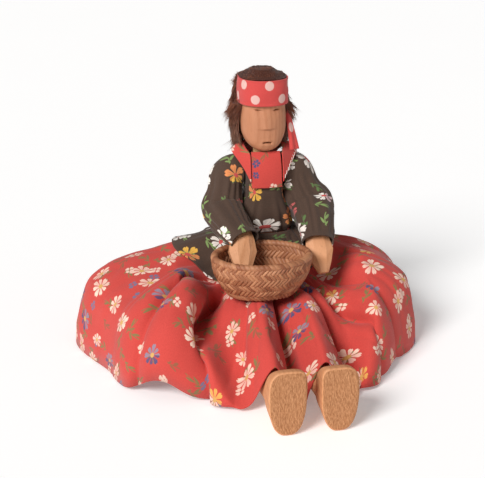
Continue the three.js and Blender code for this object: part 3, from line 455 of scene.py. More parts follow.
def dottedCotton():
    material, shader, place = newMaterial("dotted cotton", 0.85, Sheen_Weight=0.12)
    cloth = place.node("ShaderNodeUVMap")
    colour, slub = cottonGround(cloth, dotted, 1.6)
    x, y = parts(cloth)[:2]
    wide, high = dotted["pitch"]
    discs = []
    for half in (0.0, 0.5):  # the second lattice lies between the first one's dots
        u = ((x - dotted["start"][0]) / wide + half).math("FRACT") - 0.5
        v = ((y - dotted["start"][1]) / high + half).math("FRACT") - 0.5
        spot = ((u * wide) ** 2.0 + (v * high) ** 2.0) ** 0.5
        discs.append((spot + slub * 0.5).under(dotted["size"] + 0.25, 0.3))
    colour = together(discs).mix(colour, tint(dotted["dot"]))
    feed(shader, Base_Color=colour, Normal=(weave(cloth, 9.0) + slub).bump(0.3, yarn))
    return material


dottedRed = dottedCotton()


# Wood with growth rings round a pith line and fibres along it. turn brings the grain to local Z, in degrees.
def carvedWood(name, turn, look):
    material, shader, place = newMaterial(name, 0.62, Specular_IOR_Level=0.35)
    inputs = {"Vector": place, "Rotation": [math.radians(a) for a in turn], "Scale": (perMetre,) * 3}
    grain = place.node("ShaderNodeMapping", inputs)
    bent = noiseAt(grain.vector("MULTIPLY", (1, 1, 0.25)), 0.035, 2.0, out="Color")
    warp = bent.vector("SUBTRACT", (0.5, 0.5, 0.5)).vector("MULTIPLY", (look["warp"],) * 3)
    ringed = grain.vector("ADD", warp).vector("SUBTRACT", look["pith"]).vector("MULTIPLY", (1, 1, 0))
    ring = (ringed.vector("LENGTH") / look["ring"]).math("FRACT")
    late = ring.under(0.8, 0.5) * (1 - ring.under(0.12, 0.25))
    fibre = noiseAt(grain.vector("MULTIPLY", (2.6, 2.6, 0.11)), 1.0, 4.0, 0.65)
    pore = noiseAt(grain.vector("MULTIPLY", (3.6, 3.6, 0.3)), 1.0, 2.0, 0.5).under(0.34, 0.08)
    colour = (late * 0.45 + fibre * 0.9 - 0.25).clamp().mix(tint(look["dark"]), tint(look["light"]))
    colour = (pore * 0.45).mix(colour, tint(look["pore"]))
    colour = (noiseAt(grain, 0.06, 2.0) * 0.5).mix(colour, tint(look["warm"]))
    inputs = {"Vector": grain.vector("MULTIPLY", (1, 1, 0.55)), "Scale": 0.16, "Randomness": 1.0}
    flats = grain.node("ShaderNodeTexVoronoi", inputs, out="Distance").bump(0.25, 0.0016)  # left by the knife
    height = fibre * 0.6 - pore * 0.5
    feed(shader, Base_Color=colour, Roughness=fibre * 0.18 + 0.52, Normal=height.bump(0.35, 0.0003, flats))
    return material


woodLook = {
    "light": "dfa273", "dark": "bd7d50", "warm": "d99a70", "pore": "8a5632",
    "ring": 2.4, "warp": 5.0, "pith": (34.0, 22.0, 0),
}
headColours = dict(woodLook, light="c68966", dark="a96b47", warm="c08362")
cutColours = dict(woodLook, light="9a623e", dark="7a4a2d", warm="8a5636")
headWood = carvedWood("carved wood of the head", (0, 0, 0), headColours)
legWood = carvedWood("carved wood of the legs", (90, 0, 0), dict(woodLook, pith=(55.0, 6.0, 0), ring=2.0))
armWood = carvedWood("carved wood of the arms", (40, 0, 0), dict(woodLook, light="e6ab80", pith=(20.0, 40.0, 0)))
cutWood = carvedWood("shaded knife cuts", (0, 0, 0), cutColours)
dowelWood = carvedWood("turned dowel wood", (0, 90, 0), dict(woodLook, light="d2ab7c", dark="a97c4e", ring=1.4))

nodeWoods = {
    ("hip", "shoulder_peg", "elbow_pin", "neck"): dowelWood, ("leg",): legWood, ("upper_arm", "forearm"): armWood,
}
for node, obj in frame["nodes"].items():
    obj.data.materials.clear()
    obj.data.materials.append(next((wood for starts, wood in nodeWoods.items() if node.startswith(starts)), headWood))
print("materials ready")


# camera, floor and lights; the lens is in picture widths
view = {
    "azimuth": -12.0, "distance": 680, "height": 300, "yaw": 0.93, "pitch": 19.46, "lens": 1200 / 485, "sensor": 36,
}
camera = linked("camera", bpy.data.cameras.new("camera"))
camera.data.lens, camera.data.sensor_width = view["lens"] * view["sensor"], view["sensor"]
camera.data.sensor_fit, camera.data.clip_start = "HORIZONTAL", 0.01
bearing = math.radians(view["azimuth"])
heading = math.radians(view["azimuth"] + view["yaw"])
away = Vector((math.sin(bearing) * view["distance"], -math.cos(bearing) * view["distance"], view["height"]))
camera.location = away * mm
camera.rotation_euler = (math.radians(90 - view["pitch"]), 0, heading)
bpy.context.scene.camera = camera

ground = {"half": 9, "below": 0.0002, "glow": 0.2}
floorMesh = bpy.data.meshes.new("floor")
corners = [(x * ground["half"], y * ground["half"], 0) for x, y in ((-1, -1), (1, -1), (1, 1), (-1, 1))]
floorMesh.from_pydata(corners, [], [(0, 1, 2, 3)])
floorMesh.transform(Matrix.Translation((0, 0, -ground["below"])))
glow = {"Emission_Color": (1, 1, 1, 1), "Emission_Strength": ground["glow"]}
floorMaterial, floorShader, floorPlace = newMaterial("pale floor", 0.9, **glow)
feed(floorShader, Base_Color=noiseAt(floorPlace, 3.0).mix(tint("fdfcfb"), tint("fbfaf9")))
floorMesh.materials.append(floorMaterial)
linked("floor", floorMesh)

# one broad soft light from the upper left, a weak one from the right
lights = {
    "key": {"from": (-1.0, -0.95, 1.0), "spread": 24, "power": 3.2},
    "fill": {"from": (1.0, -0.9, 0.5), "spread": 70, "power": 0.12},
}
for name, lamp in lights.items():
    light = linked(name, bpy.data.lights.new(name, "SUN"))
    light.data.energy, light.data.angle = lamp["power"], math.radians(lamp["spread"])
    light.rotation_euler = Vector(lamp["from"]).to_track_quat("Z", "Y").to_euler()
world = bpy.data.worlds.new("studio")
world.use_nodes = True
world.node_tree.nodes["Background"].inputs["Color"].default_value = (1, 1, 1, 1)
world.node_tree.nodes["Background"].inputs["Strength"].default_value = 0.22
bpy.context.scene.world = world
bpy.context.scene.view_settings.view_transform = "Standard"
print("camera and lights ready")


# skirt: gathered at the waist, raised over both legs, spread on the floor at the sides
skirt = {
    "waist": (16.5, 13.0), "waistSquare": 3.2, "waistHeight": 68, "square": 3, "hemHeight": 0.4,
    "hem": {"left": 98, "right": 116, "front": 106, "back": 92},
    "lap": 45, "lapHalfWidth": 32, "lapBlend": 24, "lapStart": 4, "lapRun": 20,
    "ankle": 25, "valley": 4, "legCentre": 13.8, "ridgeRun": 18, "folds": 9, "foldDepth": 3.2,
    "lifts": [(228, 11.5, 8.0), (313, 5, 7), (100, 4, 12)],  # of the hem: turn, height and spread
    "tuck": 5.0, "cone": 3.5, "pinch": 0.55, "wrinkle": 1.0, "flatStart": 14.0, "flatShare": 0.86,
    "perFold": 28, "rows": 84, "thickness": 0.55, "inside": (0, 0, -40),
}


def waistRadius(angle):
    (x, y), power = skirt["waist"], skirt["waistSquare"]
    return (np.abs(np.cos(angle) / x) ** power + np.abs(np.sin(angle) / y) ** power) ** (-1 / power)


def hemRadius(angle):
    hem = skirt["hem"]
    across, lengthways = (hem["left"] + hem["right"]) / 2, (hem["front"] + hem["back"]) / 2
    mean = (across + lengthways) / 2 - skirt["square"]
    tilt = (hem["left"] - hem["right"]) / 2 * np.cos(angle) + (hem["back"] - hem["front"]) / 2 * np.sin(angle)
    return mean + tilt + (across - lengthways) / 2 * np.cos(2 * angle) + skirt["square"] * np.cos(4 * angle)


def skirtForm(angle, reach):
    low = skirt["hemHeight"]
    for at, rise, wide in skirt["lifts"]:
        low = low + rise * bell(np.degrees(angle) % 360, at, wide)
    deep = skirt["foldDepth"] * np.cos(skirt["folds"] * angle + 0.8 * np.sin(3 * angle) - 2.1)
    out = lerp(waistRadius(angle), hemRadius(angle) + deep * reach**2, reach)
    notInFront = 1 - smooth(-np.sin(angle), 0.35, 0.75)
    out = out - skirt["tuck"] * notInFront * smooth(reach, 0.84, 1)
    x, y = np.cos(angle) * out, np.sin(angle) * out
    # the sides and the back fall in a dome to the floor
    slope = lerp(0.36, 0.62, smooth(np.sin(angle), -0.1, 0.8))
    dome = (1 - slope * reach) * np.sqrt(np.maximum(0, 1 - reach**8))
    side = low + (skirt["waistHeight"] - low) * dome + deep * reach * (1 - reach**6)
    # the lap lies over both legs, with a valley between them
    fall = np.maximum(0, (reach - 0.5) / 0.5) ** 1.3
    ridgeTop = lerp(skirt["lap"], skirt["ankle"], fall)
    ridgeTop = ridgeTop + (skirt["waistHeight"] - skirt["lap"]) * np.exp(-reach / 0.045)
    aside = np.abs(x) - skirt["legCentre"]
    offRidge = np.where(aside < 0, -aside / skirt["legCentre"], aside / skirt["ridgeRun"])
    ridge = np.cos(np.pi / 2 * np.minimum(1, offRidge)) ** 2
    lap = ridgeTop - (skirt["ankle"] - skirt["valley"]) * smooth(reach, 0.22, 0.9) * (1 - ridge)
    between = 1 - smooth(np.abs(x), skirt["lapHalfWidth"], skirt["lapHalfWidth"] + skirt["lapBlend"])
    inFront = between * smooth(-y, skirt["lapStart"], skirt["lapStart"] + skirt["lapRun"])
    return np.stack([x, y, np.maximum(skirt["hemHeight"], lerp(side, lap, inFront))], -1)


# Creases between the folds: their turns in degrees at three reaches, and how deep they are.
creaseReaches = (0.3, 0.6, 1)
creases = [
    {"way": (4, 4, 4), "deep": 2.2},
    {"way": (24, 23, 22), "deep": 4.5},
    {"way": (42, 43, 44), "deep": 3.0},
    {"way": (64, 63, 62), "deep": 5.0},
    {"way": (84, 85, 87), "deep": 3.4},
    {"way": (106, 105, 103), "deep": 5.2},
    {"way": (126, 126, 127), "deep": 3.4},
    {"way": (146, 145, 143), "deep": 4.8},
    {"way": (166, 165, 164), "deep": 2.4},
    {"way": (202, 205, 206), "deep": 2.4},
    {"way": (213, 217.5, 220), "deep": 6.0},
    {"way": (226, 235, 241), "deep": 12.0},
    {"way": (249, 250, 251), "deep": 2.6},
    {"way": (260, 261, 262), "deep": 0.0},
    {"way": (268, 269.5, 270.5), "deep": 8.0},
    {"way": (278, 278, 278), "deep": 0.0},
    {"way": (289, 294, 292), "deep": 7.5},
    {"way": (302, 304, 304), "deep": 5.5},
    {"way": (319, 319, 319), "deep": 3.2},
    {"way": (341, 341, 341), "deep": 2.4},
]


def foldAt(u, reach):  # the turn of a share u of the way round, which follows the creases, and how deep it lies
    along = (u % 1) * len(creases)
    fold = np.minimum(along.astype(int), len(creases) - 1)
    after = (fold + 1) % len(creases)
    share = along - fold
    near, half, hem = creaseReaches
    at = []
    for way in (crease["way"] for crease in creases):
        upper = lerp(way[0], way[1], np.maximum(0, (reach - near) / (half - near)))
        at.append(np.where(reach < half, upper, lerp(way[1], way[2], (reach - half) / (hem - half))))
    start, end = (np.take_along_axis(np.stack(at), k[None], 0)[0] for k in (fold, after))
    deep = np.array([crease["deep"] for crease in creases])
    depth = lerp(deep[fold], deep[after], smooth(share, 0, 1)) * np.abs(2 * share - 1) ** 2.6
    sharp = skirt["pinch"] * np.maximum(0, lerp(deep[fold], deep[after], np.round(share)) - 2)
    depth = depth + sharp * np.exp(-((np.minimum(share, 1 - share) / 0.1) ** 2))
    ease = smooth(reach, 0.1, 0.48) * lerp(1, 0.4, smooth(reach, 0.66, 1))
    return np.radians(start + ((end - start) % 360) * share), depth * ease


# The basket's sizes stand here because the skirt lies level under it.
basket = {
    "centre": (-9.8, -48.5), "rim": (27.6, 21.6), "base": (18, 12.5), "height": 23.5, "wall": 1.9, "stand": 45.3,
    "level": (24, 18),
}


def skirtSurface(u, reach, folded=True):
    turn, depth = foldAt(u, reach)
    form = skirtForm(turn, reach)
    gathers = np.cos(43 * turn + 2.2 * np.sin(5 * turn)) * 0.55 * np.exp(-reach / 0.22) * smooth(reach, 0, 0.05)
    ripple = wobble(form * (1, 1, 0.6), 30.0) * 1.3 + wobble(form, 11.0, 5.0) * 0.45
    coneTurn = lerp(220, 229, (reach - 0.3) / 0.7)
    cone = skirt["cone"] * bell(np.degrees(turn) % 360, coneTurn, 7.0) * smooth(reach, 0.32, 0.6)
    downward = np.stack([np.cos(turn) * 8, np.sin(turn) * 8, reach * 2.4], -1)
    wrinkle = np.clip(1 - 2.2 * np.abs(wobble(downward, 1.0, 3.0)), 0, 1) ** 2
    wrinkle = wrinkle * smooth(reach, 0.1, 0.3) * (1 - 0.6 * smooth(reach, 0.8, 1))
    depth = depth + skirt["wrinkle"] * wrinkle
    raised = gathers + cone + ripple * smooth(reach, 0.05, 0.3) - (depth if folded else 0)
    form = pushed(form, True, skirt["inside"], raised)
    form[..., 2] = np.maximum(form[..., 2], skirt["hemHeight"] + skirt["thickness"])
    fromBasket = (form[..., :2] - basket["centre"]) / basket["level"]
    under = np.hypot(fromBasket[..., 0], fromBasket[..., 1]) < 1
    form[..., 2] = np.where(under, np.minimum(form[..., 2], skirt["lap"] - 0.1), form[..., 2])
    return form, turn


def roundUv(turns, grid, share):  # the cloth laid out flat round the waist
    turns = np.concatenate([turns, turns[:, :1] + fullTurn], 1)
    drop = arcLength(grid, 0)
    length = share * np.concatenate([drop, drop[:, :1]], 1) + skirt["flatStart"]
    return np.stack([length * np.cos(turns), length * np.sin(turns)], -1)


count = skirt["perFold"] * len(creases)
reaches = np.linspace(0, 1, skirt["rows"]) ** 0.92
grid, turnGrid = skirtSurface(*np.meshgrid(np.arange(count) / count, reaches))
uv = roundUv(turnGrid, grid, skirt["flatShare"])
skirtPiece = clothPiece("skirt_cloth", grid, uv, skirt["thickness"], True, skirt["inside"], reds)
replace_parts(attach(skirtPiece, "torso"), "skirt")
print("skirt made")


# peplum: the flared lower edge of the blouse, lying on the skirt
peplum = {
    "right": 0.37, "left": 0.26, "front": 0.12, "back": 0.3, "lift": 1.5, "flare": 1.2, "thickness": 0.5,
    "columns": 360, "rows": 26,
}


def peplumShare(turn):
    c, s = np.cos(turn), np.sin(turn)
    sideways = c * c * np.where(c < 0, peplum["right"], peplum["left"])
    return sideways + s * s * np.where(s < 0, peplum["front"], peplum["back"])


around = np.arange(peplum["columns"]) / peplum["columns"]
shareGrid, downGrid = np.meshgrid(around, np.linspace(0, 1, peplum["rows"]))
turnGrid = foldAt(shareGrid, np.full_like(shareGrid, creaseReaches[0]))[0]
grid, turnGrid = skirtSurface(shareGrid, downGrid * peplumShare(turnGrid), folded=False)
flare = np.maximum(0, np.cos(11 * turnGrid + 1.5 * np.sin(3 * turnGrid))) * peplum["flare"] * downGrid**1.5
grid = pushed(grid, True, skirt["inside"], peplum["lift"] + flare)
uv = roundUv(turnGrid, grid, 1.0)
peplumPiece = clothPiece("peplum_cloth", grid, uv, peplum["thickness"], True, skirt["inside"], darks)
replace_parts(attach(peplumPiece, "torso"), "peplum")
print("peplum made")


# bodice: close on the chest, full above the waist
bodice = {
    "stations": [  # height, half width, front and back
        (68.0, 15.0, 11.5, 11.5), (92.0, 9.6, 14.4, 11.2), (104.0, 9.6, 14.4, 11.2), (110.0, 8.2, 11.4, 9.7),
        (113.0, 5.6, 7.4, 7.7),
    ],
    "waist": 68.4, "neck": 113.0, "square": 3.2, "ease": 1.5, "blousing": 2.2, "pleat": 0.55, "flatRadius": 13.5,
    "swells": (68, 73), "narrows": (78, 92), "smooths": (72, 98),  # from one height to another
    "columns": 180, "rows": 70, "thickness": 0.5, "inside": (0, 0, 90),
}
turns = fullTurn * np.arange(bodice["columns"] + 1) / bodice["columns"]
heights = np.linspace(bodice["waist"], bodice["neck"], bodice["rows"])
turnGrid, heightGrid = np.meshgrid(turns[:-1], heights)
stations = np.array(bodice["stations"])
halfWidth, front, back = (np.interp(heightGrid, stations[:, 0], stations[:, k]) for k in (1, 2, 3))
swell, narrow, even = (smooth(heightGrid, *bodice[key]) for key in ("swells", "narrows", "smooths"))
full = bodice["ease"] + bodice["blousing"] * swell * (1 - narrow)
pleat = np.cos(15 * turnGrid + 1.4 * np.sin(4 * turnGrid)) * bodice["pleat"] * (1 - even)
x, y = levelRing(turnGrid, halfWidth, front, back, full + pleat, bodice["square"])
grid = np.stack([x, y, heightGrid], -1)
grid = pushed(grid, True, bodice["inside"], wobble(grid, 11.0, 3.0) * 0.5)
uv = flatUv(turns[None, :] * bodice["flatRadius"], heights[:, None])
bodicePiece = clothPiece("bodice_cloth", grid, uv, bodice["thickness"], True, bodice["inside"], darks)
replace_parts(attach(bodicePiece, "torso"), "bodice")
print("bodice made")


# sleeves: round the shoulder's pin, full at the elbow, straight at the cuff
sleeve = {
    "radius": 9.0, "puff": 1.0, "elbow": 11.2, "cuff": 9.2, "cuffHalfHeight": 6.4, "inset": 3.6, "upperArm": 24.0,
    "armMiddle": 4.3, "tenonEnd": 7.2, "span": 15.6, "shoulder": 104.0, "flatRound": 58,
    "columns": 120, "rows": 110, "thickness": 0.5,
    "right": {
        "splay": 5, "swing": 24, "bend": 48, "turnIn": 18, "elbowOut": 1.5, "shift": 0.0,
        "inner": 2.5, "outer": 0.6, "cuffReach": 29.0,
    },
    "left": {
        "splay": 5, "swing": 24, "bend": 40, "turnIn": 3, "elbowOut": 3.8, "shift": 31.0,
        "inner": 5.5, "outer": 3.2, "cuffReach": 31.5,
    },
}


def armToDoll(points, pose, side):  # from the hanging arm's own axes to the doll's
    swing, splay = -math.radians(pose["swing"]), -math.radians(pose["splay"])
    x, y, z = points[..., 0], points[..., 1], points[..., 2]
    y, z = y * math.cos(swing) - z * math.sin(swing), y * math.sin(swing) + z * math.cos(swing)
    x, z = x * math.cos(splay) + z * math.sin(splay), z * math.cos(splay) - x * math.sin(splay)
    return np.stack([side * (x + sleeve["span"]), y, z + sleeve["shoulder"]], -1)


def sleeveGrid(pose):
    bend, lean = math.radians(pose["bend"]), math.tan(math.radians(pose["turnIn"]))
    armpit, middle = sleeve["radius"] + 0.7, sleeve["armMiddle"] + pose["elbowOut"]

    def onForearm(reach):
        inward = lean * max(0, reach - sleeve["tenonEnd"])
        return np.array([middle - inward, -math.sin(bend) * reach, -sleeve["upperArm"] - math.cos(bend) * reach])

    route = [
        (armpit - sleeve["inset"], 0, -armpit),
        (middle + 2.2, 1, -sleeve["upperArm"] + 1),
        onForearm(0.55 * pose["cuffReach"]) + (1.5, 0.5, 0.5),
        onForearm(pose["cuffReach"]),
    ]
    turn = roundTurns(sleeve["columns"])
    fan, cuff = 4, 10  # the rows go in a fan over the shoulder, then along the arm
    share = np.linspace(0, cuff, sleeve["rows"])[:, None]
    lift = np.clip(share / fan, 0, 1) * np.pi / 2
    way = np.clip((share - fan) / (cuff - fan), 0, 1)
    fanOut = np.hstack([np.sin(lift), 0 * way, np.cos(lift)])
    fanAhead = np.hstack([np.cos(lift), 0 * way, -np.sin(lift)])
    puff = sleeve["puff"] * np.sin(2 * lift)
    fanCentre = np.array([-sleeve["inset"], 0, -armpit]) + fanOut * (armpit + puff)
    before, after = np.maximum(0, way - 0.002)[:, 0], np.minimum(1, way + 0.002)[:, 0]
    ahead = unit(through(route, after) - through(route, before))
    ahead = unit(lerp(np.array([0, 0, -1.0]), ahead, smooth(way, 0, 0.3)))
    onFan = share <= fan
    tangent = np.where(onFan, fanAhead, ahead)
    centre = np.where(onFan, fanCentre, through(route, way[:, 0]))
    outward = np.where(onFan, fanOut, unit(np.array([1.0, 0, 0]) - ahead * ahead[:, :1]))
    full = lerp(sleeve["radius"], sleeve["elbow"], smooth(way, 0, 0.4))
    full = lerp(full, sleeve["cuff"], smooth(way, 0.45, 1))
    uneven = 1 + 0.05 * np.sin(3 * turn + 5 * way) * np.sin(np.pi * way)
    radius = np.where(onFan, sleeve["radius"] + puff, full * uneven)
    flat = lerp(1, sleeve["cuffHalfHeight"] / sleeve["cuff"], smooth(share, 7, cuff))
    gather = np.cos(13 * turn + 2 * np.sin(3 * turn)) * 0.45
    gather = gather * smooth(share, 2.5, fan) * (1 - smooth(share, 9.2, cuff))
    outer = pose["outer"] * bell(way, 0.22, 0.26) * np.maximum(0, np.cos(turn))
    inner = pose["inner"] * bell(way, 0.12, 0.3) * np.maximum(0, -np.cos(turn))
    radius = radius + gather + (outer + inner) * np.sin(np.pi * np.clip(way + 0.12, 0, 1))
    forward = np.cross(outward, tangent)
    grid = centre[:, None] + outward[:, None] * (radius * np.cos(turn))[..., None]
    grid = grid + forward[:, None] * (flat * radius * np.sin(turn))[..., None]
    near = np.exp(-(((share - share.T) / 0.6) ** 2))  # eases the bend at the elbow, and leaves both ends
    eased = np.einsum("ij,jkl->ikl", near / near.sum(1, keepdims=True), grid)
    return lerp(grid, eased, (smooth(share, 0.5, 2) * (1 - smooth(share, 8.5, 9.8)))[..., None])


jointAt = {joint["name"]: Vector(joint["pos_m"]) for joint in frame["joints"]}
roundSleeve = np.arange(sleeve["columns"] + 1)[None, :] / sleeve["columns"] * sleeve["flatRound"]
for name, side in (("right", -1), ("left", 1)):
    pose = sleeve[name]
    local = sleeveGrid(pose)
    grid = armToDoll(local, pose, side)
    rumple = wobble(grid, 9.0, 2.0 * side) * 0.55 + wobble(grid, 4.0, 7.0) * 0.15
    grid = grid + unit(grid - grid.mean(axis=1, keepdims=True)) * rumple[..., None]
    uv = flatUv(roundSleeve + pose["shift"], arcLength(local.mean(1)[None], 1)[0][:, None])
    inside = grid.mean((0, 1))
    piece = clothPiece(f"sleeve_{name}_cloth", grid, uv, sleeve["thickness"], True, inside, darks)
    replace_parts(piece, f"sleeve_{name}")
    shoulder, elbow = jointAt[f"shoulder_{name}"], jointAt[f"elbow_{name}"]
    handward = Vector(grid[-1].mean(0) * mm) - elbow
    pastElbow = (elbow - shoulder).normalized() + handward.normalized()
    pastElbow = pastElbow.normalized()  # square to the crease of the elbow
    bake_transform(piece)
print("sleeves made")


# collar: a cape open in front, with pointed wings over the shoulders
collar = {
    "edge": 9.6, "front": 17.4, "frontHem": 100.5, "tipReach": 21, "tipHeight": 116, "backHem": 99, "back": 14.8,
    "chestBack": 11.2, "neckFront": 12.0, "neckBack": 7.5, "neckHeight": 116.4, "rightShare": 0.74, "stand": 3.8,
    "flatHalf": 46, "flatHeight": 120, "columns": 150, "rows": 40, "thickness": 0.5, "inside": (0, 0, 90),
}


def mirrored(half, middle):
    return half + [middle] + [(-x, y, z) for x, y, z in reversed(half)]


def bent(neck, over, hem, rows):  # from the neck to the hem, drawn towards the line over the chest
    v = np.linspace(0, 1, rows)[:, None, None]
    return lerp(lerp(neck, over, v), lerp(over, hem, v), v)


def collarGrid():
    edge, reach, high, stand = (collar[key] for key in ("edge", "tipReach", "neckHeight", "stand"))
    hemHalf = [
        (edge, -collar["front"], collar["frontHem"]),
        (reach * 0.68, -collar["front"] * 0.74, (collar["frontHem"] + collar["tipHeight"]) / 2),
        (reach, -1, collar["tipHeight"]),
        (reach * 0.7, collar["chestBack"], collar["tipHeight"] - 2.5),
        (reach * 0.3, collar["back"], collar["backHem"] + 4),
    ]
    neckHalf = [
        (edge, -collar["neckFront"], high + 0.8),
        (edge + 1.2, -collar["neckFront"] * 0.55, high + 0.7 * stand),
        (edge + 1.0, -collar["neckFront"] * 0.08, high + stand),
        (edge * 0.8, collar["neckBack"] * 0.62, high + stand),
        (edge * 0.4, collar["neckBack"] * 0.95, high + stand),
    ]
    turn = np.linspace(0, 1, collar["columns"])
    hem = through(mirrored(hemHalf, (0, collar["back"], collar["backHem"])), turn)
    hem[:, 0] = np.where(hem[:, 0] < -edge, -edge + (hem[:, 0] + edge) * collar["rightShare"], hem[:, 0])
    neck = through(mirrored(neckHalf, (0, collar["neckBack"], high + stand)), turn)
    facing = np.sin(np.arctan2(hem[:, 1], hem[:, 0]))[:, None] ** 2
    over = neck + (hem - neck) * lerp(0.5, 0.8, facing)
    over[:, 2] = neck[:, 2] + lerp(1, -1.5, facing[:, 0])
    return bent(neck, over, hem, collar["rows"])


grid = collarGrid()
ripple = wobble(grid, 10.0, 4.0) * 0.5 * smooth(np.linspace(0, 1, collar["rows"]), 0.2, 0.8)[:, None]
grid = pushed(grid, False, collar["inside"], np.abs(ripple))
length = arcLength(grid, 0)
across = np.linspace(-1, 1, collar["columns"])[None, :] * collar["flatHalf"]
uv = flatUv(across * (0.45 + 0.55 * length / length.max()), length + collar["flatHeight"])
collarPiece = clothPiece("collar_cloth", grid, uv, collar["thickness"], False, collar["inside"], reds)
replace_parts(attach(collarPiece, "torso"), "collar")
collarFacing = gridNormals(grid, False, collar["inside"])[-1]
collarEdge = {"place": grid[-1], "facing": collarFacing, "inward": unit(grid[-4] - grid[-1])}
print("collar made")

# bib: the panel that fills the collar's opening
bib = {
    "halfWidth": 9.0, "front": 17.7, "neckFront": 12.0, "top": 117.3, "hem": 97.0, "bulge": 1.1, "cut": (262, 88),
    "columns": 60, "rows": 70, "thickness": 0.5, "inside": (0, 0, 110),
    "marks": [(255.6, 95.0, 2.7, 0.1), (255.4, 101.8, 2.4, 0.6)],  # flowers: place on the cloth, size and turn
}
bibCalico = calico("red calico of the bib", calicoPrint["red"], 0.0, bib["marks"])
x = np.linspace(-bib["halfWidth"], bib["halfWidth"], bib["columns"])
bulge = bib["bulge"] * (x / bib["halfWidth"]) ** 2
neck = np.stack([x * 0.94, -bib["neckFront"] + 0.4 * bulge, np.full_like(x, bib["top"])], -1)
over = np.stack([x * 0.97, -bib["front"] + 0.6 + bulge, np.full_like(x, bib["top"] - 4)], -1)
hem = np.stack([x, -bib["front"] + bulge, np.full_like(x, bib["hem"])], -1)
grid = bent(neck, over, hem, bib["rows"])
uv = flatUv(x[None, :] + bib["cut"][0], arcLength(grid, 0) + bib["cut"][1])
bibPiece = clothPiece("bib_cloth", grid, uv, bib["thickness"], False, bib["inside"], [bibCalico, redInside])
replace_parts(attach(bibPiece, "torso"), "bib")
print("bib made")


# headband: a folded strip round the front of the head, with its free end at the left cheek
band = {
    "halfWidth": 12.9, "front": 16.5, "back": 12.8, "bottom": 145.0, "top": 159.5, "grow": 1.3, "past": 17.5,
    "square": 2.4, "columns": 160, "rows": 30, "thickness": 0.8, "inside": (0, 0, 150), "middle": (0, 0, 152),
}
ends = np.radians(band["past"])
turn = np.linspace(np.pi - ends, 2 * np.pi + ends, band["columns"])
share = np.linspace(0, 1, band["rows"])[:, None]
grow = band["grow"] + 0.4 * np.sin(np.pi * share) - 0.2 * share
grow = grow + 0.18 * np.cos(np.pi * 6 * share) * smooth(np.abs(share - 0.5), 0.3, 0.5)  # folded edges
turnGrid, shareGrid = np.meshgrid(turn, share[:, 0])
grow = np.broadcast_to(grow, turnGrid.shape)
x, y = levelRing(turnGrid, band["halfWidth"], band["front"], band["back"], grow, band["square"])
grid = np.stack([x, y, lerp(band["bottom"], band["top"], shareGrid)], -1)
grid = pushed(grid, False, band["inside"], wobble(grid * (1, 1, 2.2), 8.0, 9.0) * 0.28)
length = arcLength(grid[:1], 1)[0]
uv = flatUv(length[None, :] - length[len(length) // 2], share * (band["top"] - band["bottom"]))
bandPiece = clothPiece("headband_cloth", grid, uv, band["thickness"], False, band["middle"], [dottedRed])
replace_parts(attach(bandPiece, "head"), "headband")

tail = {
    "inner": (10.5, -10.89), "width": 7.6, "length": 27.2, "lean": 3.9, "top": 144.7, "back": 9.0, "cut": (4.5, 3.0),
    "taper": 0.35, "columns": 36, "rows": 60, "thickness": 0.6, "inside": (5, 5, 133),
}
inner = np.array([*tail["inner"], 0.0])
outer = inner + (tail["width"] * 0.8, tail["width"] * 0.28, 0)
u, v = np.meshgrid(np.linspace(0, 1, tail["columns"]), np.linspace(0, 1, tail["rows"]))
taper = tail["taper"] * (1 - v)
grid = inner + (outer - inner) * lerp(taper, 1 - taper, u)[..., None]
wave = -0.8 * np.sin(np.pi * u) - 0.6 * v + 0.35 * np.sin(3 * np.pi * u + 2 * v) * v
grid = grid + np.stack([tail["lean"] * v, wave, tail["top"] - tail["length"] * v], -1)
grid[..., 1] += tail["back"] * (1 - v) ** 1.5
uv = np.stack([u * tail["width"] + tail["cut"][0], -v * tail["length"] + tail["cut"][1]], -1)
tailPiece = clothPiece("headband_tail_cloth", grid, uv, tail["thickness"], False, tail["inside"], [dottedRed])
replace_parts(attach(tailPiece, "head"), "headband_tail")
print("headband made")


# geometry trees for what repeats
def newTree(name, sizes):  # the values of its named inputs, and its last node
    tree = bpy.data.node_groups.new(name, "GeometryNodeTree")
    tree.interface.new_socket("Geometry", in_out="INPUT", socket_type="NodeSocketGeometry")
    kinds = {int: "NodeSocketInt", float: "NodeSocketFloat", type(None): "NodeSocketMaterial"}
    for key, value in sizes.items():
        socket = tree.interface.new_socket(key, in_out="INPUT", socket_type=kinds[type(value)])
        if value is not None:
            socket.default_value = value
    tree.interface.new_socket("Geometry", in_out="OUTPUT", socket_type="NodeSocketGeometry")
    start, end = tree.nodes.new("NodeGroupInput"), tree.nodes.new("NodeGroupOutput")
    return {output.name: Val(output) for output in start.outputs if output.name}, end


def named(start, name, kind="FLOAT_VECTOR"):
    return start.node("GeometryNodeInputNamedAttribute", {"Name": name}, data_type=kind)


def stored(geometry, name, value):
    inputs = {"Geometry": geometry, "Name": name, "Value": value}
    return geometry.node("GeometryNodeStoreNamedAttribute", inputs, data_type="FLOAT", domain="POINT")


def scaled(vector, share):
    return vector.node("ShaderNodeVectorMath", {"Vector": vector, "Scale": share}, operation="SCALE")


def shaped(mesh, here):  # with its points moved, and smooth
    mesh = mesh.node("GeometryNodeSetPosition", {"Geometry": mesh, "Position": here})
    return mesh.node("GeometryNodeSetShadeSmooth", {"Geometry": mesh})


def placed(points, shape, along, facing, sizes, end, material):  # the shape on every point, then one mesh
    turn = points.node("FunctionNodeAxesToRotation", [along, facing], primary_axis="X", secondary_axis="Z")
    inputs = {"Points": points, "Instance": shape, "Rotation": turn, "Scale": sizes}
    mesh = points.node("GeometryNodeRealizeInstances", [points.node("GeometryNodeInstanceOnPoints", inputs)])
    mesh = mesh.node("GeometryNodeSetMaterial", {"Geometry": mesh, "Material": material})
    end.id_data.links.new(mesh.socket, end.inputs[0])


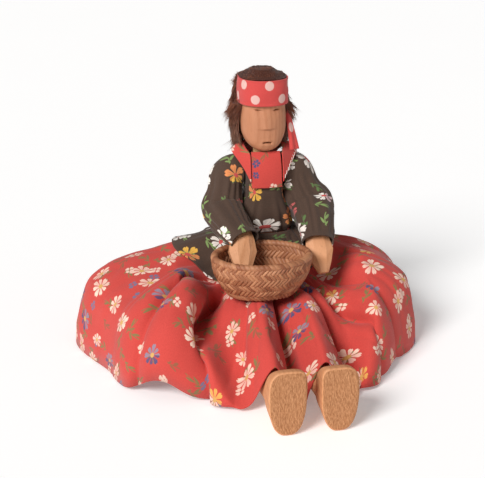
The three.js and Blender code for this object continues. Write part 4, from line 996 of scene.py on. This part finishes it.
# Short strips laid on points that say which way they face and lie: rounded across, with both ends tucked under.
def laidStrips():
    defaults = {"Length": 1.0, "Width": 1.0, "Rise": 1.0, "Bend": 0.0, "Slant": 0.0, "Material": None}
    sizes, end = newTree("laid strips", defaults)
    points = sizes["Geometry"]
    grid = points.node("GeometryNodeMeshGrid", {"Size X": 1.0, "Size Y": 1.0, "Vertices X": 9, "Vertices Y": 5})
    u, v = parts(points.node("GeometryNodeInputPosition"))[:2]
    dome = 1 - (v * v * 3.6)
    tuck = (u * 2.0) ** 4.0 * 0.9
    tiny = 0.00001  # gives a straight strip a very large radius
    radius = sizes["Length"] / (sizes["Bend"] + tiny)
    turn = u * sizes["Bend"] + tiny
    far = radius + sizes["Rise"] * (dome - tuck)
    across = v * sizes["Width"] + u * sizes["Slant"]
    inputs = [far * turn.math("SINE"), across, far * turn.math("COSINE") - radius]
    shape = shaped(grid, points.node("ShaderNodeCombineXYZ", inputs))
    lie, facing, size = (named(points, key) for key in ("lie", "facing", "size"))
    placed(points, shape, lie, facing, size, end, sizes["Material"])
    return end.id_data


# Tapering hairs scattered over the faces marked as outer, lying the way the mesh says and lifted at their tips.
def furStrands():
    defaults = {"Length": 0.009, "Width": 0.0003, "Density": 1000000.0, "Lift": 0.2, "Stray": 0.2}
    sizes, end = newTree("fur strands", {**defaults, "Seed": 3, "Material": None})
    skin = sizes["Geometry"]
    inputs = {"Mesh": skin, "Density": sizes["Density"] * named(skin, "outer", "FLOAT"), "Seed": sizes["Seed"]}
    points = skin.node("GeometryNodeDistributePointsOnFaces", inputs)
    normal = points.other("Normal")
    lock = noiseAt(skin.node("GeometryNodeInputPosition"), 260.0, 2.0, out="Color")
    sway = lock.vector("SUBTRACT", (0.5, 0.5, 0.5)).vector("MULTIPLY", (2.4, 2.4, 0.8))
    inputs = {0: (-1, -1, -1), 1: (1, 1, 1), "Seed": sizes["Seed"]}
    stray = skin.node("FunctionNodeRandomValue", inputs, data_type="FLOAT_VECTOR")
    way = named(skin, "lie").vector("ADD", sway.vector("MULTIPLY", (0.3,) * 3))
    way = way.vector("ADD", scaled(stray, sizes["Stray"])).vector("ADD", scaled(normal, sizes["Lift"]))
    inputs = {"Vertices": 3, "Side Segments": 3, "Radius Top": 0.0}
    inputs.update({"Radius Bottom": sizes["Width"], "Depth": sizes["Length"]})
    cone = skin.node("GeometryNodeMeshCone", inputs, fill_type="NONE")
    x, y, z = parts(skin.node("GeometryNodeInputPosition"))
    along = z / sizes["Length"]
    droop = along * along * sizes["Length"] * -0.16
    strand = shaped(stored(cone, "tip", along), skin.node("ShaderNodeCombineXYZ", [z, 0 - y, x + droop]))
    chance = skin.node("FunctionNodeRandomValue", {2: 0.0, 3: 1.0, "Seed": 11}, out=1, data_type="FLOAT")
    long = (chance * 0.7 + 0.6) * named(skin, "reach", "FLOAT")
    size = skin.node("ShaderNodeCombineXYZ", [long, 1.0, 1.0])
    placed(stored(points, "shade", chance), strand, way, normal, size, end, sizes["Material"])
    return end.id_data


def grown(name, base, tree, sizes):  # what the tree makes of the base, as a plain mesh
    modifier = base.modifiers.new(tree.name, "NODES")
    modifier.node_group = tree
    for item in tree.interface.items_tree:
        if item.in_out == "INPUT" and item.name in sizes:
            modifier[item.identifier] = sizes[item.name]
    graph = bpy.context.evaluated_depsgraph_get()
    evaluated = base.evaluated_get(graph)
    mesh = bpy.data.meshes.new_from_object(evaluated, preserve_all_data_layers=True, depsgraph=graph)
    base.modifiers.remove(modifier)
    mesh.name = name
    return linked(name, mesh)


strips = laidStrips()
hairs = furStrands()
chance = np.random.default_rng(10902)


def strippedPiece(name, places, facing, lie, size, sizes):  # one strip to a point, sizes in mm apart from the bend
    mesh = bpy.data.meshes.new("places")
    mesh.from_pydata((places * mm).tolist(), [], [])
    shade = chance.uniform(0, 1, len(places))
    for key, values in (("facing", facing), ("lie", lie), ("size", size), ("shade", shade)):
        setAttribute(mesh, key, values)
    base = linked("places", mesh)
    lengths = {key: sizes[key] * mm for key in ("Length", "Width", "Rise", "Slant")}
    piece = grown(name, base, strips, {**sizes, **lengths})
    bpy.data.objects.remove(base)
    return piece


def attribute(place, name):
    return place.node("ShaderNodeAttribute", attribute_name=name, out="Fac")


# hair: a fur core with strands that hang from the crown
fur = {
    "length": 0.0085, "width": 0.0003, "density": 1750000.0, "lift": 0.04, "stray": 0.16,
    "crown": (0, 2, 176), "inset": (1.7, -0.3), "flush": 0.1, "weld": 0.00001,
    # from one height to another
    "flushes": (146, 153), "combed": (157, 160), "shortens": (146, 154), "lengthens": (122, 132), "fills": (154, 160),
}


def furMaterial(name):
    material, shader, place = newMaterial(name, 0.6, Specular_IOR_Level=0.25, Sheen_Weight=0.15)
    shade, tip = attribute(place, "shade"), attribute(place, "tip")
    low = ((140.0 - parts(place)[2] * perMetre) / 18.0).clamp()
    tuft = noiseAt(place, 160.0, 2.0)
    colour = (shade * 0.6 + tip * 0.35 + tuft * 0.3 - 0.2).clamp().mix(tint("4a2213"), tint("925436"))
    grey = (low * (tip * 0.5 + shade * 0.5 - 0.1)).clamp()
    feed(shader, Base_Color=grey.mix(colour, tint("86705f")))
    return material


furBrown = furMaterial("brown fur")
core = linked("hair_core", frame["nodes"]["hair"].data.copy())
shell = bmesh.new()
shell.from_mesh(core.data)
bmesh.ops.remove_doubles(shell, verts=shell.verts, dist=fur["weld"])
shell.to_mesh(core.data)
shell.free()
places = np.array([v.co for v in core.data.vertices]) / mm
normals = np.array([v.normal for v in core.data.vertices])
height = places[:, 2]
places[:, 0] *= 1 - fur["flush"] * smooth(height, *fur["flushes"])
back = (1 - smooth(places[:, 1], 3, 9)) * smooth(height, *fur["combed"])
flow = lerp(unit(places - np.array(fur["crown"])), np.array((0, 1.0, 0)), back[:, None])
flow = unit(flow - normals * (flow * normals).sum(1, keepdims=True) + (0, 0, -1e-3))
setAttribute(core.data, "lie", flow)
reach = 1 - 0.5 * smooth(height, *fur["shortens"]) + 0.45 * (1 - smooth(height, *fur["lengthens"]))
setAttribute(core.data, "reach", reach)
middles = np.array([f.center for f in core.data.polygons]) / mm
faceNormals = np.array([f.normal for f in core.data.polygons])
outward = (unit((middles - (0, -2, 0)) * (1, 1, 0)) * faceNormals).sum(1)
fringe = (faceNormals[:, 1] < -0.5) & (np.abs(middles[:, 0]) > 9)
outer = (outward > 0.15) | (faceNormals[:, 2] > 0.3) | fringe
inset = lerp(*fur["inset"], smooth(height, *fur["fills"]))
core.data.vertices.foreach_set("co", ((places - normals * inset[:, None]) * mm).astype(np.float32).ravel())
setAttribute(core.data, "outer", outer, "FACE")
core.data.materials.clear()
core.data.materials.append(furBrown)
furSizes = {key.capitalize(): fur[key] for key in ("length", "width", "density", "lift", "stray")}
strandPiece = grown("hair_strands", core, hairs, {**furSizes, "Material": furBrown})
for piece in (core, strandPiece):
    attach(piece, "head")
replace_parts(core, "hair")
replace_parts(strandPiece, "hair")
print("hair made")


# basket: an oval wall under slanted splints, row against row, with a wrapped rim
basketLook = {
    "slant": 50, "pitch": 2.45, "floorPitch": 3.6, "floorHalf": (15.0, 9.5),
    "rows": [2.0, 5.7, 9.4, 13.1, 16.8, 20.3], "insideRows": [8.0, 12.0, 16.0, 19.6],
    "rimRadius": 1.75, "rimPitch": 2.6, "rimHeight": 21.9, "rimBend": 4.4, "columns": 96,
}


def splintMaterial(name, light, dark):
    material, shader, place = newMaterial(name, 0.55, Specular_IOR_Level=0.4)
    fibre = noiseAt(place.vector("MULTIPLY", (1, 1, 0.35)), 900.0, 3.0, 0.6)
    tone = (attribute(place, "shade") * 0.75 + fibre * 0.5 - 0.15).clamp()
    feed(shader, Base_Color=tone.mix(tint(dark), tint(light)), Normal=fibre.bump(0.25, yarn))
    return material


splint = splintMaterial("plaited splint", "c48a63", "864d31")
splintShade = splintMaterial("splint in the shade", "8a5a3c", "5e3a25")


def basketPoint(turn, height, inset=0.0):
    share = np.sin(np.pi / 2 * np.clip(height / (basket["height"] - 3.2), 0, 1)) ** 0.9
    halfX = lerp(basket["base"][0], basket["rim"][0], share) - inset
    halfY = lerp(basket["base"][1], basket["rim"][1], share) - inset
    x, y = basket["centre"][0] + halfX * np.cos(turn), basket["centre"][1] + halfY * np.sin(turn)
    return np.stack(np.broadcast_arrays(x, y, basket["stand"] + height), -1)


def evenTurns(height, inset, pitch, shift):  # turns that lie one pitch apart along the oval
    fine = np.linspace(0, fullTurn, 721)  # every half degree
    along = arcLength(basketPoint(fine, height, inset)[None], 1)[0]
    count = int(round(along[-1] / pitch))
    return np.interp((np.arange(count) + shift) / count * along[-1], along, fine)


def basketFrame(turn, height, inset):  # the way round, up and out on the wall
    step = 0.01
    around = unit(basketPoint(turn + step, height, inset) - basketPoint(turn - step, height, inset))
    up = unit(basketPoint(turn, height + step, inset) - basketPoint(turn, height - step, inset))
    return around, up, unit(np.cross(around, up))


# height and inset, up the outside and down the inside
profile = [(0.3, 3.0), (0.0, 0.6), (1.0, 0.2), (4.0, 0.2), (8.0, 0.2), (13.0, 0.2), (18.0, 0.2), (22.5, 0.3)]
profile += [(22.5, 1.7), (18.0, 1.8), (13.0, 1.8), (8.0, 1.8), (4.0, 1.8), (1.9, 2.6)]
wallTurns = roundTurns(basketLook["columns"])
rings = np.array([basketPoint(wallTurns, height, inset) for height, inset in profile])
wallPiece = closedGrid("basket_wall", rings, [splintShade])
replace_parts(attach(wallPiece, "torso"), "basket")

spots = {"place": [], "facing": [], "lie": []}
for inside, rowHeights in ((False, basketLook["rows"]), (True, basketLook["insideRows"])):
    inset = basket["wall"] if inside else 0.0
    for k, height in enumerate(rowHeights):
        turn = evenTurns(height, inset, basketLook["pitch"], 0.5 * (k % 2))
        around, up, out = basketFrame(turn, height, inset)
        slant = math.radians(basketLook["slant"]) * (1 if k % 2 else -1)
        spots["place"].append(basketPoint(turn, height, inset))
        spots["facing"].append(-out if inside else out)
        spots["lie"].append(around * math.cos(slant) + up * math.sin(slant))
apart, (halfX, halfY) = basketLook["floorPitch"], basketLook["floorHalf"]
across, deep = np.meshgrid(np.arange(-8, 9) * basketLook["pitch"], np.arange(-3, 4) * apart)
across, deep = (across + 0.25 * deep).ravel(), deep.ravel()
held = (across / halfX) ** 2 + (deep / halfY) ** 2 < 1
slant = np.radians(basketLook["slant"]) * np.where(np.round(deep[held] / apart) % 2, 1, -1)
bottom = np.stack([across[held], deep[held], np.full(held.sum(), basket["stand"] + basket["wall"])], -1)
spots["place"].append(bottom + (*basket["centre"], 0))
spots["facing"].append(np.tile((0.0, 0.0, 1.0), (len(bottom), 1)))
spots["lie"].append(np.stack([np.cos(slant), np.sin(slant), 0 * slant], -1))
place, facing, lie = (np.concatenate(values) for values in spots.values())
count = len(place)
size = np.stack([chance.uniform(low, high, count) for low, high in ((0.94, 1.06), (0.9, 1.05), (0.85, 1.25))], 1)
floatSizes = {"Length": 7.2, "Width": 2.2, "Rise": 0.85, "Bend": 0.12, "Slant": 0.0, "Material": splint}
floatPiece = strippedPiece("basket_splints", place, facing, lie, size, floatSizes)
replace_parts(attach(floatPiece, "torso"), "basket")

rimHeight, rimInset, bend = basketLook["rimHeight"], basket["wall"] / 2, basketLook["rimBend"]
turn = evenTurns(rimHeight, rimInset, basketLook["rimPitch"], 0.0)
out = basketFrame(turn, rimHeight, rimInset)[2]
count = len(turn)
high = np.tile((0.0, 0.0, 1.0), (count, 1))
size = np.stack([np.ones(count), chance.uniform(0.95, 1.1, count), np.ones(count)], 1)
place = basketPoint(turn, rimHeight, rimInset) + high * basketLook["rimRadius"]
wrapLength = basketLook["rimRadius"] * bend
wrapSizes = {"Length": wrapLength, "Width": 3.3, "Rise": 0.5, "Bend": bend, "Slant": 4.2, "Material": splint}
wrapPiece = strippedPiece("basket_rim", place, high, unit(out * (1, 1, 0)), size, wrapSizes)
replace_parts(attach(wrapPiece, "torso"), "basket")
print("basket made")


# whip stitches of white thread along the edge of the collar
stitch = {"pitch": 2.3, "share": 0.3, "inward": 1.0, "proud": 0.15, "lean": 0.55}
threadWhite = newMaterial("white thread", 0.8, Base_Color=tint("f3ece2"))[0]
along = arcLength(collarEdge["place"][None], 1)[0]
spots = np.arange(stitch["pitch"], stitch["share"] * along[-1], stitch["pitch"])  # the left wing only
place, facing, inward = (
    np.stack([np.interp(spots, along, line[:, k]) for k in range(3)], -1) for line in collarEdge.values()
)
lie = unit(inward + unit(np.gradient(place, axis=0)) * stitch["lean"])
place = place + inward * stitch["inward"] + facing * stitch["proud"]
stitchSizes = {"Length": 2.2, "Width": 0.34, "Rise": 0.25, "Bend": 0.3, "Slant": 0.0, "Material": threadWhite}
stitchPiece = strippedPiece("collar_stitches", place, facing, lie, np.ones((len(spots), 3)), stitchSizes)
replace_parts(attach(stitchPiece, "torso"), "collar")
print("stitches made")


# head: a flat-faced egg with a low nose, and knife cuts for the eyes and the mouth
headLook = {
    "chin": 118.5, "height": 42.0, "halfWidth": 13.3, "brow": 11.6, "front": 16.5, "back": 11.5, "square": 2.5,
    "columns": 260, "rows": 250, "inside": (0, 0, 138), "shadedFrom": 0.75,
    "nose": {"tip": 131.7, "top": 146.0, "wide": 3.4, "narrow": 3.0, "proud": 1.15},
    "eye": {"out": 5.4, "height": 142.3, "half": 1.7, "deep": 1.5},
    "mouth": {"height": 123.4, "half": 3.0, "deep": 1.5},
}
narrow = headLook["brow"] / headLook["halfWidth"]
stations = [  # shares of the height, the width, the front and the back
    (0, 0.42, 0.86, 0.3), (0.04, 0.62, 0.95, 0.55), (0.11, 0.8, 0.99, 0.76), (0.25, 0.96, 1, 0.92),
    (0.42, 0.98, 1, 0.98), (0.6, (1 + narrow) / 2, 0.985, 1), (0.8, 0.95 * narrow, 0.93, 0.96),
    (0.94, 0.74 * narrow, 0.76, 0.74), (1, 0.45 * narrow, 0.47, 0.42),
]
outline = through(stations, np.linspace(0, 1, headLook["rows"]))
turn = roundTurns(headLook["columns"])
turn = turn - 0.35 * np.cos(turn)  # more columns in the face
keys = ("halfWidth", "front", "back")
halfWidth, front, back = (outline[:, k : k + 1] * headLook[key] for k, key in enumerate(keys, 1))
x, y = levelRing(turn[None, :], halfWidth, front, back, 0.0, headLook["square"])
z = np.broadcast_to(headLook["chin"] + outline[:, :1] * headLook["height"], x.shape)
nose, eye, mouth = headLook["nose"], headLook["eye"], headLook["mouth"]
fall = np.clip((nose["top"] - z) / (nose["top"] - nose["tip"]), 0, 1)
ridge = bell(x, 0, lerp(nose["narrow"], nose["wide"], fall))
proud = nose["proud"] * fall**1.3 * ridge * smooth(z, nose["tip"] - 0.7, nose["tip"] + 0.2)
aside = np.abs(x)
socket = 0.45 * bell(aside, eye["out"] - 0.4, 3.0) * bell(z, eye["height"] - 1.2, 2.4)
slit = eye["deep"] * bell(aside, eye["out"], eye["half"]) * bell(z - 0.12 * aside, eye["height"] - 0.6, 0.42)
smile = bell(z + 0.03 * x * x, mouth["height"] + 0.1, 0.42)
slit = slit + mouth["deep"] * smooth(mouth["half"] - aside, 0, 1.2) * smile
lip = 0.25 * bell(x, 0, 3.5) * (bell(z, mouth["height"] + 1.3, 0.8) + bell(z, mouth["height"] - 1.4, 0.9))
facing = smooth(-y, 4, 9)
grid = np.stack([x, y + facing * (socket + slit - proud - lip), z], -1)
grid = pushed(grid, True, headLook["inside"], wobble(grid * (1, 1, 0.5), 5.0, 1.0) * 0.13)
cuts = np.zeros((headLook["rows"] + 1, headLook["columns"]), int)
cuts[:-2] = (facing * slit)[:-1] > headLook["shadedFrom"]
headPiece = closedGrid("carved_head", grid, [headWood, cutWood], cuts.ravel())
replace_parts(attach(headPiece, "head"), "head")
print("head made")


# legs: carved from the hip to a flat sole with a wide toe edge and a round heel
leg = {
    "centre": 13.8, "columns": 96, "rows": 150, "sole": 12, "edge": 0.8, "rim": 0.955, "inside": (-70, 12.0),
    # reach, half width, low, high, share of the height that is widest, squareness at inner toe, outer toe and heel
    "stations": [
        (0, 9.0, 3.5, 22.5, 0.5, 3.4, 3.4, 3.4),
        (14, 9.0, 3.5, 22.5, 0.5, 3.0, 3.0, 3.0),
        (50, 8.1, 3.5, 19.5, 0.5, 2.4, 2.4, 2.4),
        (80, 8.1, 3.5, 18.9, 0.5, 2.3, 2.3, 2.3),
        (107, 6.4, 3.0, 17.0, 0.5, 2.2, 2.2, 2.2),
        (115.1, 8.56, 2.7, 25.0, 0.62, 6, 3.2, 2.5),
        (121.85, 9.28, 1.8, 31.8, 0.62, 6, 3.2, 2.5),
        (128.06, 9.71, 0.75, 35.0, 0.62, 6, 3.2, 2.5),
        (133.2, 10.0, 0.0, 36.0, 0.62, 6, 3.2, 2.5),
    ],
}


def endGrain(name, pith):  # a sawn end: pores in curved rows
    material, shader, place = newMaterial(name, 0.75, Specular_IOR_Level=0.25)
    across = place.vector("MULTIPLY", (perMetre, 0.0, perMetre))
    bent = noiseAt(across, 0.12, 2.0, out="Color").vector("SUBTRACT", (0.5, 0.5, 0.5))
    warped = across.vector("ADD", bent.vector("MULTIPLY", (5.0, 0, 5.0)))
    radius = warped.vector("SUBTRACT", pith).vector("LENGTH")
    line = noiseAt(radius.node("ShaderNodeCombineXYZ", [radius]), 0.75, 4.0, 0.7)
    speck = noiseAt(across.vector("MULTIPLY", (1.5, 0, 0.42)), 1.0, 4.0, 0.7)
    colour = (speck * 2.8 - 0.95 + (line - 0.5) * 1.8).clamp().mix(tint("84502c"), tint("d69c70"))
    colour = (noiseAt(across, 0.1, 2.0) * 0.5).mix(colour, tint("bc8054"))
    feed(shader, Base_Color=colour, Normal=speck.bump(0.5, 0.0004))
    return material


def crossRing(params, side, turn):
    reach, half, low, high, share, inner, outer, heel = (params[:, k : k + 1] for k in range(8))
    c, s = np.cos(turn), np.sin(turn)
    power = 2 / np.where(s > 0, np.where(c * side > 0, outer, inner), heel)
    widest = lerp(low, high, share)
    x = half * np.sign(c) * np.abs(c) ** power + side * leg["centre"]
    z = widest + np.abs(s) ** power * np.where(s > 0, high - widest, low - widest)
    return np.stack([x, np.broadcast_to(-reach, x.shape), z], -1)


soleWood = endGrain("sawn end of the legs", (160.0, 0, 60.0))
turn = roundTurns(leg["columns"], 0.5)
table = np.array(leg["stations"], float)
reach = lerp(0, table[-1, 0], np.linspace(0, 1, leg["rows"]) ** 0.8)
params = np.stack([np.interp(reach, table[:, 0], table[:, k]) for k in range(8)], -1)
blur = np.exp(-(((reach[:, None] - reach[None, :]) / 2.0) ** 2))
params[:, 1:] = (blur @ params[:, 1:]) / blur.sum(1, keepdims=True)
for name, side in (("right", -1), ("left", 1)):
    rings = crossRing(params, side, turn[None, :])
    rings = pushed(rings, True, (side * leg["centre"], *leg["inside"]), wobble(rings * (1, 0.5, 1), 6.0, side) * 0.22)
    middle = rings[-1].mean(0)
    cap = []
    for k in range(leg["sole"]):  # the rounded rim and the flat of the sole
        inward = 1 - (1 - leg["edge"] / 10) * (k / (leg["sole"] - 1)) if k else leg["rim"]
        ring = middle + (rings[-1] - middle) * (inward, 0, inward)
        ring[:, 1] = rings[-1, :, 1] - leg["edge"] * (1 if k else 0.75) - 0.12 * wobble(ring, 5.0, 8.0 + side)
        cap.append(ring)
    grid = np.concatenate([rings, np.array(cap)])
    sawn = np.zeros((len(grid) + 1, leg["columns"]), int)
    sawn[len(rings) : -2] = 1
    sawn[-1] = 1
    piece = closedGrid(f"carved_leg_{name}", grid, [legWood, soleWood], sawn.ravel())
    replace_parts(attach(piece, "torso"), f"leg_{name}")
print("legs made")

clothPieces = {
    "skirt_cloth": {"flat": (0.52, 0.125), "held": "gathered", "on": ["leg_right", "leg_left", "torso"]},
    "peplum_cloth": {"flat": (0.2, 0.04), "held": "gathered", "on": ["skirt_cloth"]},
    "bodice_cloth": {"flat": (0.096, 0.047), "held": "gathered", "on": ["torso"]},
    "sleeve_right_cloth": {"flat": (0.066, 0.064), "held": "gathered", "on": ["upper_arm_right"]},
    "sleeve_left_cloth": {"flat": (0.07, 0.066), "held": "gathered", "on": ["upper_arm_left"]},
    "collar_cloth": {"flat": (0.06, 0.03), "held": "laid", "on": ["bodice_cloth"], "area": 0.0011},
    "bib_cloth": {"flat": (0.018, 0.022), "held": "laid", "on": ["bodice_cloth"]},
    "headband_cloth": {"flat": (0.062, 0.0145), "held": "stretched", "on": ["carved_head", "hair_core"]},
    "headband_tail_cloth": {"flat": (0.01, 0.029), "held": "hung", "on": ["headband_cloth"], "area": 0.000145},
}
for name, cloth in clothPieces.items():
    piece = bpy.data.objects[name]
